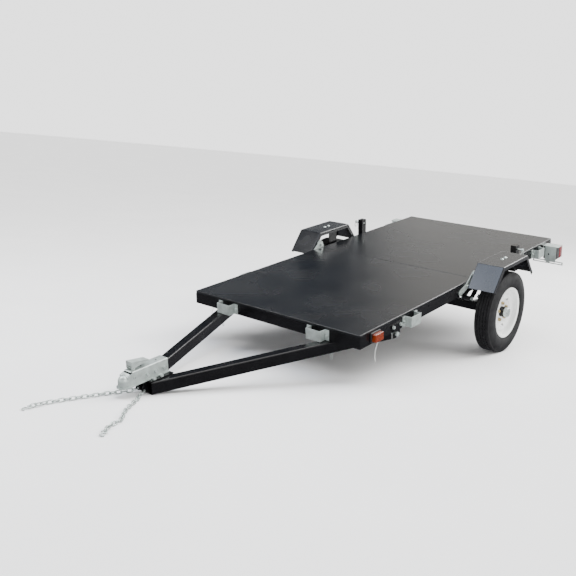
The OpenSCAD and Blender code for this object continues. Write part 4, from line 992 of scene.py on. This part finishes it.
class TRAILER_OT_leaf_springs(Operator):
    """Makes the leaf springs between the frame and the axle"""
    bl_idname = "trailer.leaf_springs"
    bl_label = "Leaf Springs"

    RADIUS = 0.560
    LEAF = 0.006
    GAP = 0.00015
    COUNT = 3
    SHORTER = 0.28  # each leaf is this share of the main leaf's reach shorter than the last
    SLIPPER = math.radians(4)
    EYE_R = 0.014
    EYE_BORE = 0.0071
    STEPS = 24
    LEAF_EDGE = 0.0012
    BEND_X = 0.58  # a share of the way from frame to axle
    BEND_START = 0.03
    BEND_END = 0.04

    def half(self, side, sign, end):
        """Each leaf is a bar carried along an arc: (y, z) = centre + r (sin t, -cos t) for r
        between its two faces. The main leaf ends in its eye at the front and runs past the
        slipper at the rear."""
        lo, hi = node_box(f"leaf_spring_{side}")
        stack = self.COUNT * (self.LEAF + self.GAP) - self.GAP
        axle = node_box("axle_beam")
        middle = (axle[0][1] + axle[1][1]) / 2
        centre_z = lo[2] + self.RADIUS + stack
        swing = math.asin((middle - (lo[1] + self.EYE_R)) / (self.RADIUS + self.LEAF - self.EYE_R))
        shape = Shape()
        for k in range(self.COUNT):
            reach = swing * (1 - self.SHORTER * k)
            if end > 0 and k == 0:
                reach += self.SLIPPER
            t = np.linspace(0, end * reach, self.STEPS)
            r = self.RADIUS + k * (self.LEAF + self.GAP)
            shape.loft(self.bar(t, r, lo[0], hi[0], middle, centre_z))
        if end < 0:
            self.eye(shape, lo, hi, middle, centre_z, swing)
        name = f"leaf_{side}_{'rear' if end > 0 else 'front'}"
        obj = shape.piece(name, "spring_steel", None, sharp=40)
        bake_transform(obj)
        return obj

    def bar(self, t, r, x0, x1, middle, centre_z):
        """Rings of one leaf, one for each angle of t."""
        ring = corner_ring((x0, r), (x1, r + self.LEAF), self.LEAF_EDGE, 3)
        reach = ring[None, :, 1]
        y = middle + reach * np.sin(t)[:, None]
        z = centre_z - reach * np.cos(t)[:, None]
        return np.stack([np.broadcast_to(ring[:, 0], y.shape), y, z], -1)

    def eye(self, shape, lo, hi, middle, centre_z, swing):
        """The rolled eye: a ring of revolution round the front bolt."""
        reach = self.RADIUS + self.LEAF - self.EYE_R
        y0, z0 = middle - reach * math.sin(swing), centre_z - reach * math.cos(swing)
        loop = [
            (lo[0], self.EYE_R), (hi[0], self.EYE_R),
            (hi[0], self.EYE_BORE), (lo[0], self.EYE_BORE)]
        shape.loft(circles(y0, z0, loop), caps=False, round_rows=True)

    def execute(self, context):
        for side, sign in SIDES.items():
            front = self.half(side, sign, -1)
            self.half(side, sign, 1)
            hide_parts(f"leaf_spring_{side}")
        return {"FINISHED"}


# ---------------- wheels

class TRAILER_OT_tyres(Operator):
    """Makes the tyres, with zigzag ribs and ringed walls"""
    bl_idname = "trailer.tyres"
    bl_label = "Tyres"

    GROOVES = (-0.0285, -0.0095, 0.0095, 0.0285)
    GROOVE_HALF = 0.0032
    ZIGZAG = 0.0026
    BEAD_OUT = 0.0474
    BEAD_IN = 0.0364
    BEAD_R = 0.1526
    FLANGE_R = 0.168
    FLOOR_HALF = 0.55  # of a groove's floor, as a share of its mouth's half width
    SHOULDER = 0.014
    SHOULDER_DROP = 0.004
    BULGE_AT, BULGE_POWER, FLANGE_X = 0.42, 2.3, 0.0505
    RING_PITCH, RING_HEIGHT, RING_SPAN = 0.011, 0.0006, (0.12, 0.9)
    BULGE_IN = 0.0002
    RINGS_FROM = 0.2
    WALL_T, TREAD_T = 0.009, 0.016
    INNER_FLANGE_R, INNER_BULGE_R = 0.162, 0.2095

    def section(self, radius, half):
        """The tyre's closed outline as rows of (radius, x, zigzag): out along one wall, over the
        grooved tread, back along the other wall, and round inside. The walls fall away from
        their bulge by a power of the height, and carry fine rings as a cosine of the height."""
        tread = half - self.SHOULDER
        wall = np.linspace(0, 1, 30)
        height = self.FLANGE_R + (radius - self.SHOULDER_DROP - self.FLANGE_R) * wall
        fall = np.abs(2 * (wall - self.BULGE_AT)) ** self.BULGE_POWER
        out = half - (half - self.FLANGE_X) * np.clip(fall, 0, 1) - self.BULGE_IN
        wave = np.cos(2 * np.pi * (height - self.RINGS_FROM) / self.RING_PITCH)
        ringed = (wall > self.RING_SPAN[0]) & (wall < self.RING_SPAN[1])
        out += self.RING_HEIGHT * np.maximum(0, wave) * ringed
        out[0] = self.BEAD_OUT
        side = np.stack([height, out, np.zeros_like(out)], -1)
        shoulder = np.array([
            (radius - 0.0012, tread + 0.0015, 0), (radius, tread - 0.003, 0.15)])
        floor_r = radius - sizes().groove_depth
        cuts = []
        for x in self.GROOVES[::-1]:
            g, b = self.GROOVE_HALF, self.GROOVE_HALF * self.FLOOR_HALF
            cuts += [
                (radius, x + g, 1), (floor_r, x + b, 1), (floor_r, x - b, 1), (radius, x - g, 1)]
        right = np.vstack([[(self.BEAD_R, self.BEAD_OUT, 0)], side, shoulder])
        left = right[::-1] * [1, -1, 1]
        inside = np.array([
            (radius - self.TREAD_T, tread - self.SHOULDER_DROP, 0),
            (self.INNER_BULGE_R, half - self.WALL_T, 0),
            (self.INNER_FLANGE_R, self.BEAD_IN, 0), (self.BEAD_R, self.BEAD_IN, 0)])
        return np.vstack([right, cuts, left, inside[::-1] * [1, -1, 1], inside])

    def execute(self, context):
        steps = sizes().tread_steps * 4
        turn = np.linspace(0, 2 * np.pi, steps, endpoint=False)
        sway = np.abs(np.arange(steps) % 4 - 2) - 1.0
        for side in SIDES:
            lo, hi = node_box(f"tyre_{side}")
            middle, half = (lo + hi) / 2, (hi[0] - lo[0]) / 2
            radius = (hi[2] - lo[2]) / 2
            section = self.section(radius, half)
            x = section[None, :, 1] + self.ZIGZAG * sway[:, None] * section[None, :, 2]
            r = np.broadcast_to(section[:, 0], x.shape)
            rings = np.stack([
                middle[0] + x, middle[1] + r * np.sin(turn)[:, None],
                middle[2] + r * np.cos(turn)[:, None]], -1)
            shape = Shape()
            shape.add(rings, grid_faces(steps, len(section), True, True))
            obj = shape.piece(f"tyre_cover_{side}", "tyre_rubber", f"wheel_{side}", sharp=32)
            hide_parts(f"tyre_{side}")
        return {"FINISHED"}


class TRAILER_OT_rims(Operator):
    """Eases the rims and paints the hubs, dust caps and lug nuts"""
    bl_idname = "trailer.rims"
    bl_label = "Rims and Hubs"

    def execute(self, context):
        for side in SIDES:
            eased(f"rim_{side}", 0.0008)
            eased(f"hub_{side}", 0.0012)
            eased(f"dust_cap_{side}", 0.002)
            repaint(f"lug_nuts_{side}")
        return {"FINISHED"}


# ---------------- lamps

class TRAILER_OT_lamps(Operator):
    """Makes the housings and lenses of the tail lamps and the marker lamps"""
    bl_idname = "trailer.lamps"
    bl_label = "Lamps"

    CORNER = 0.006
    EDGE = 0.003
    SHRINK = (0.8, 0.6, 0.4, 0.2, 0.02)
    # Each part of a lamp: its node, the name of its pieces, its slot and the axis that it faces.
    PARTS = (
        ("tail_lamp_housings", "tail_housing", "lamp_plastic", 1),
        ("marker_lamp_bases", "marker_base", "lamp_plastic", 0),
        ("tail_lamp_lenses", "tail_lens", "red_lens", 1),
        ("marker_lamp_lenses", "marker_lens", "amber_lens", 0),
    )

    def block(self, lo, hi, axis):
        """Rings of a box with round corners about an axis, and smaller rings over its outer end."""
        order = [k for k in range(3) if k != axis] + [axis]
        rings = rounded_box(lo[order], hi[order], self.CORNER, self.EDGE)
        top = rings[-1]
        middle = top.mean(0)
        rings = np.concatenate([rings, [middle + (top - middle) * s for s in self.SHRINK]])
        points = np.empty_like(rings)
        points[..., order] = rings
        return points

    def execute(self, context):
        for side, sign in SIDES.items():
            for node, name, slot, axis in self.PARTS:
                shape = Shape()
                shape.loft(self.block(*node_box(node, sign), axis))
                obj = shape.piece(f"{name}_{side}", slot, body_of(node), sharp=50)
                if sign > 0:
                    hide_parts(node)
        return {"FINISHED"}


# ---------------- the add-on

PIECES = (
    TRAILER_OT_stage, TRAILER_OT_safety_chains, TRAILER_OT_marker_wires, TRAILER_OT_deck_panels,
    TRAILER_OT_frame_steel, TRAILER_OT_zinc_fittings, TRAILER_OT_tongue_tubes, TRAILER_OT_coupler,
    TRAILER_OT_fenders, TRAILER_OT_leaf_springs, TRAILER_OT_tyres, TRAILER_OT_rims,
    TRAILER_OT_lamps)


class TRAILER_PT_sidebar(Panel):
    """Lists the trailer's pieces in the sidebar"""
    bl_label = "Folding Trailer"
    bl_idname = "TRAILER_PT_sidebar"
    bl_space_type = "VIEW_3D"
    bl_region_type = "UI"
    bl_category = "Trailer"

    def draw(self, context):
        for group in (context.scene.trailer_sizes, context.scene.trailer_colours):
            box = self.layout.box()
            for name in group.__annotations__:
                box.prop(group, name)
        for piece in PIECES:
            self.layout.operator(piece.bl_idname)


CLASSES = (TrailerSizes, TrailerColours, *PIECES, TRAILER_PT_sidebar)


def register():
    for cls in CLASSES:
        bpy.utils.register_class(cls)
    bpy.types.Scene.trailer_sizes = PointerProperty(type=TrailerSizes)
    bpy.types.Scene.trailer_colours = PointerProperty(type=TrailerColours)


def unregister():
    del bpy.types.Scene.trailer_colours
    del bpy.types.Scene.trailer_sizes
    for cls in reversed(CLASSES):
        bpy.utils.unregister_class(cls)


def corners(box):
    """A box as two plain lists of numbers."""
    return [[float(x) for x in corner] for corner in box]


def main():
    register()
    for piece in PIECES:
        getattr(bpy.ops.trailer, piece.bl_idname.split(".")[1])()


if __name__ == "__main__":
    main()
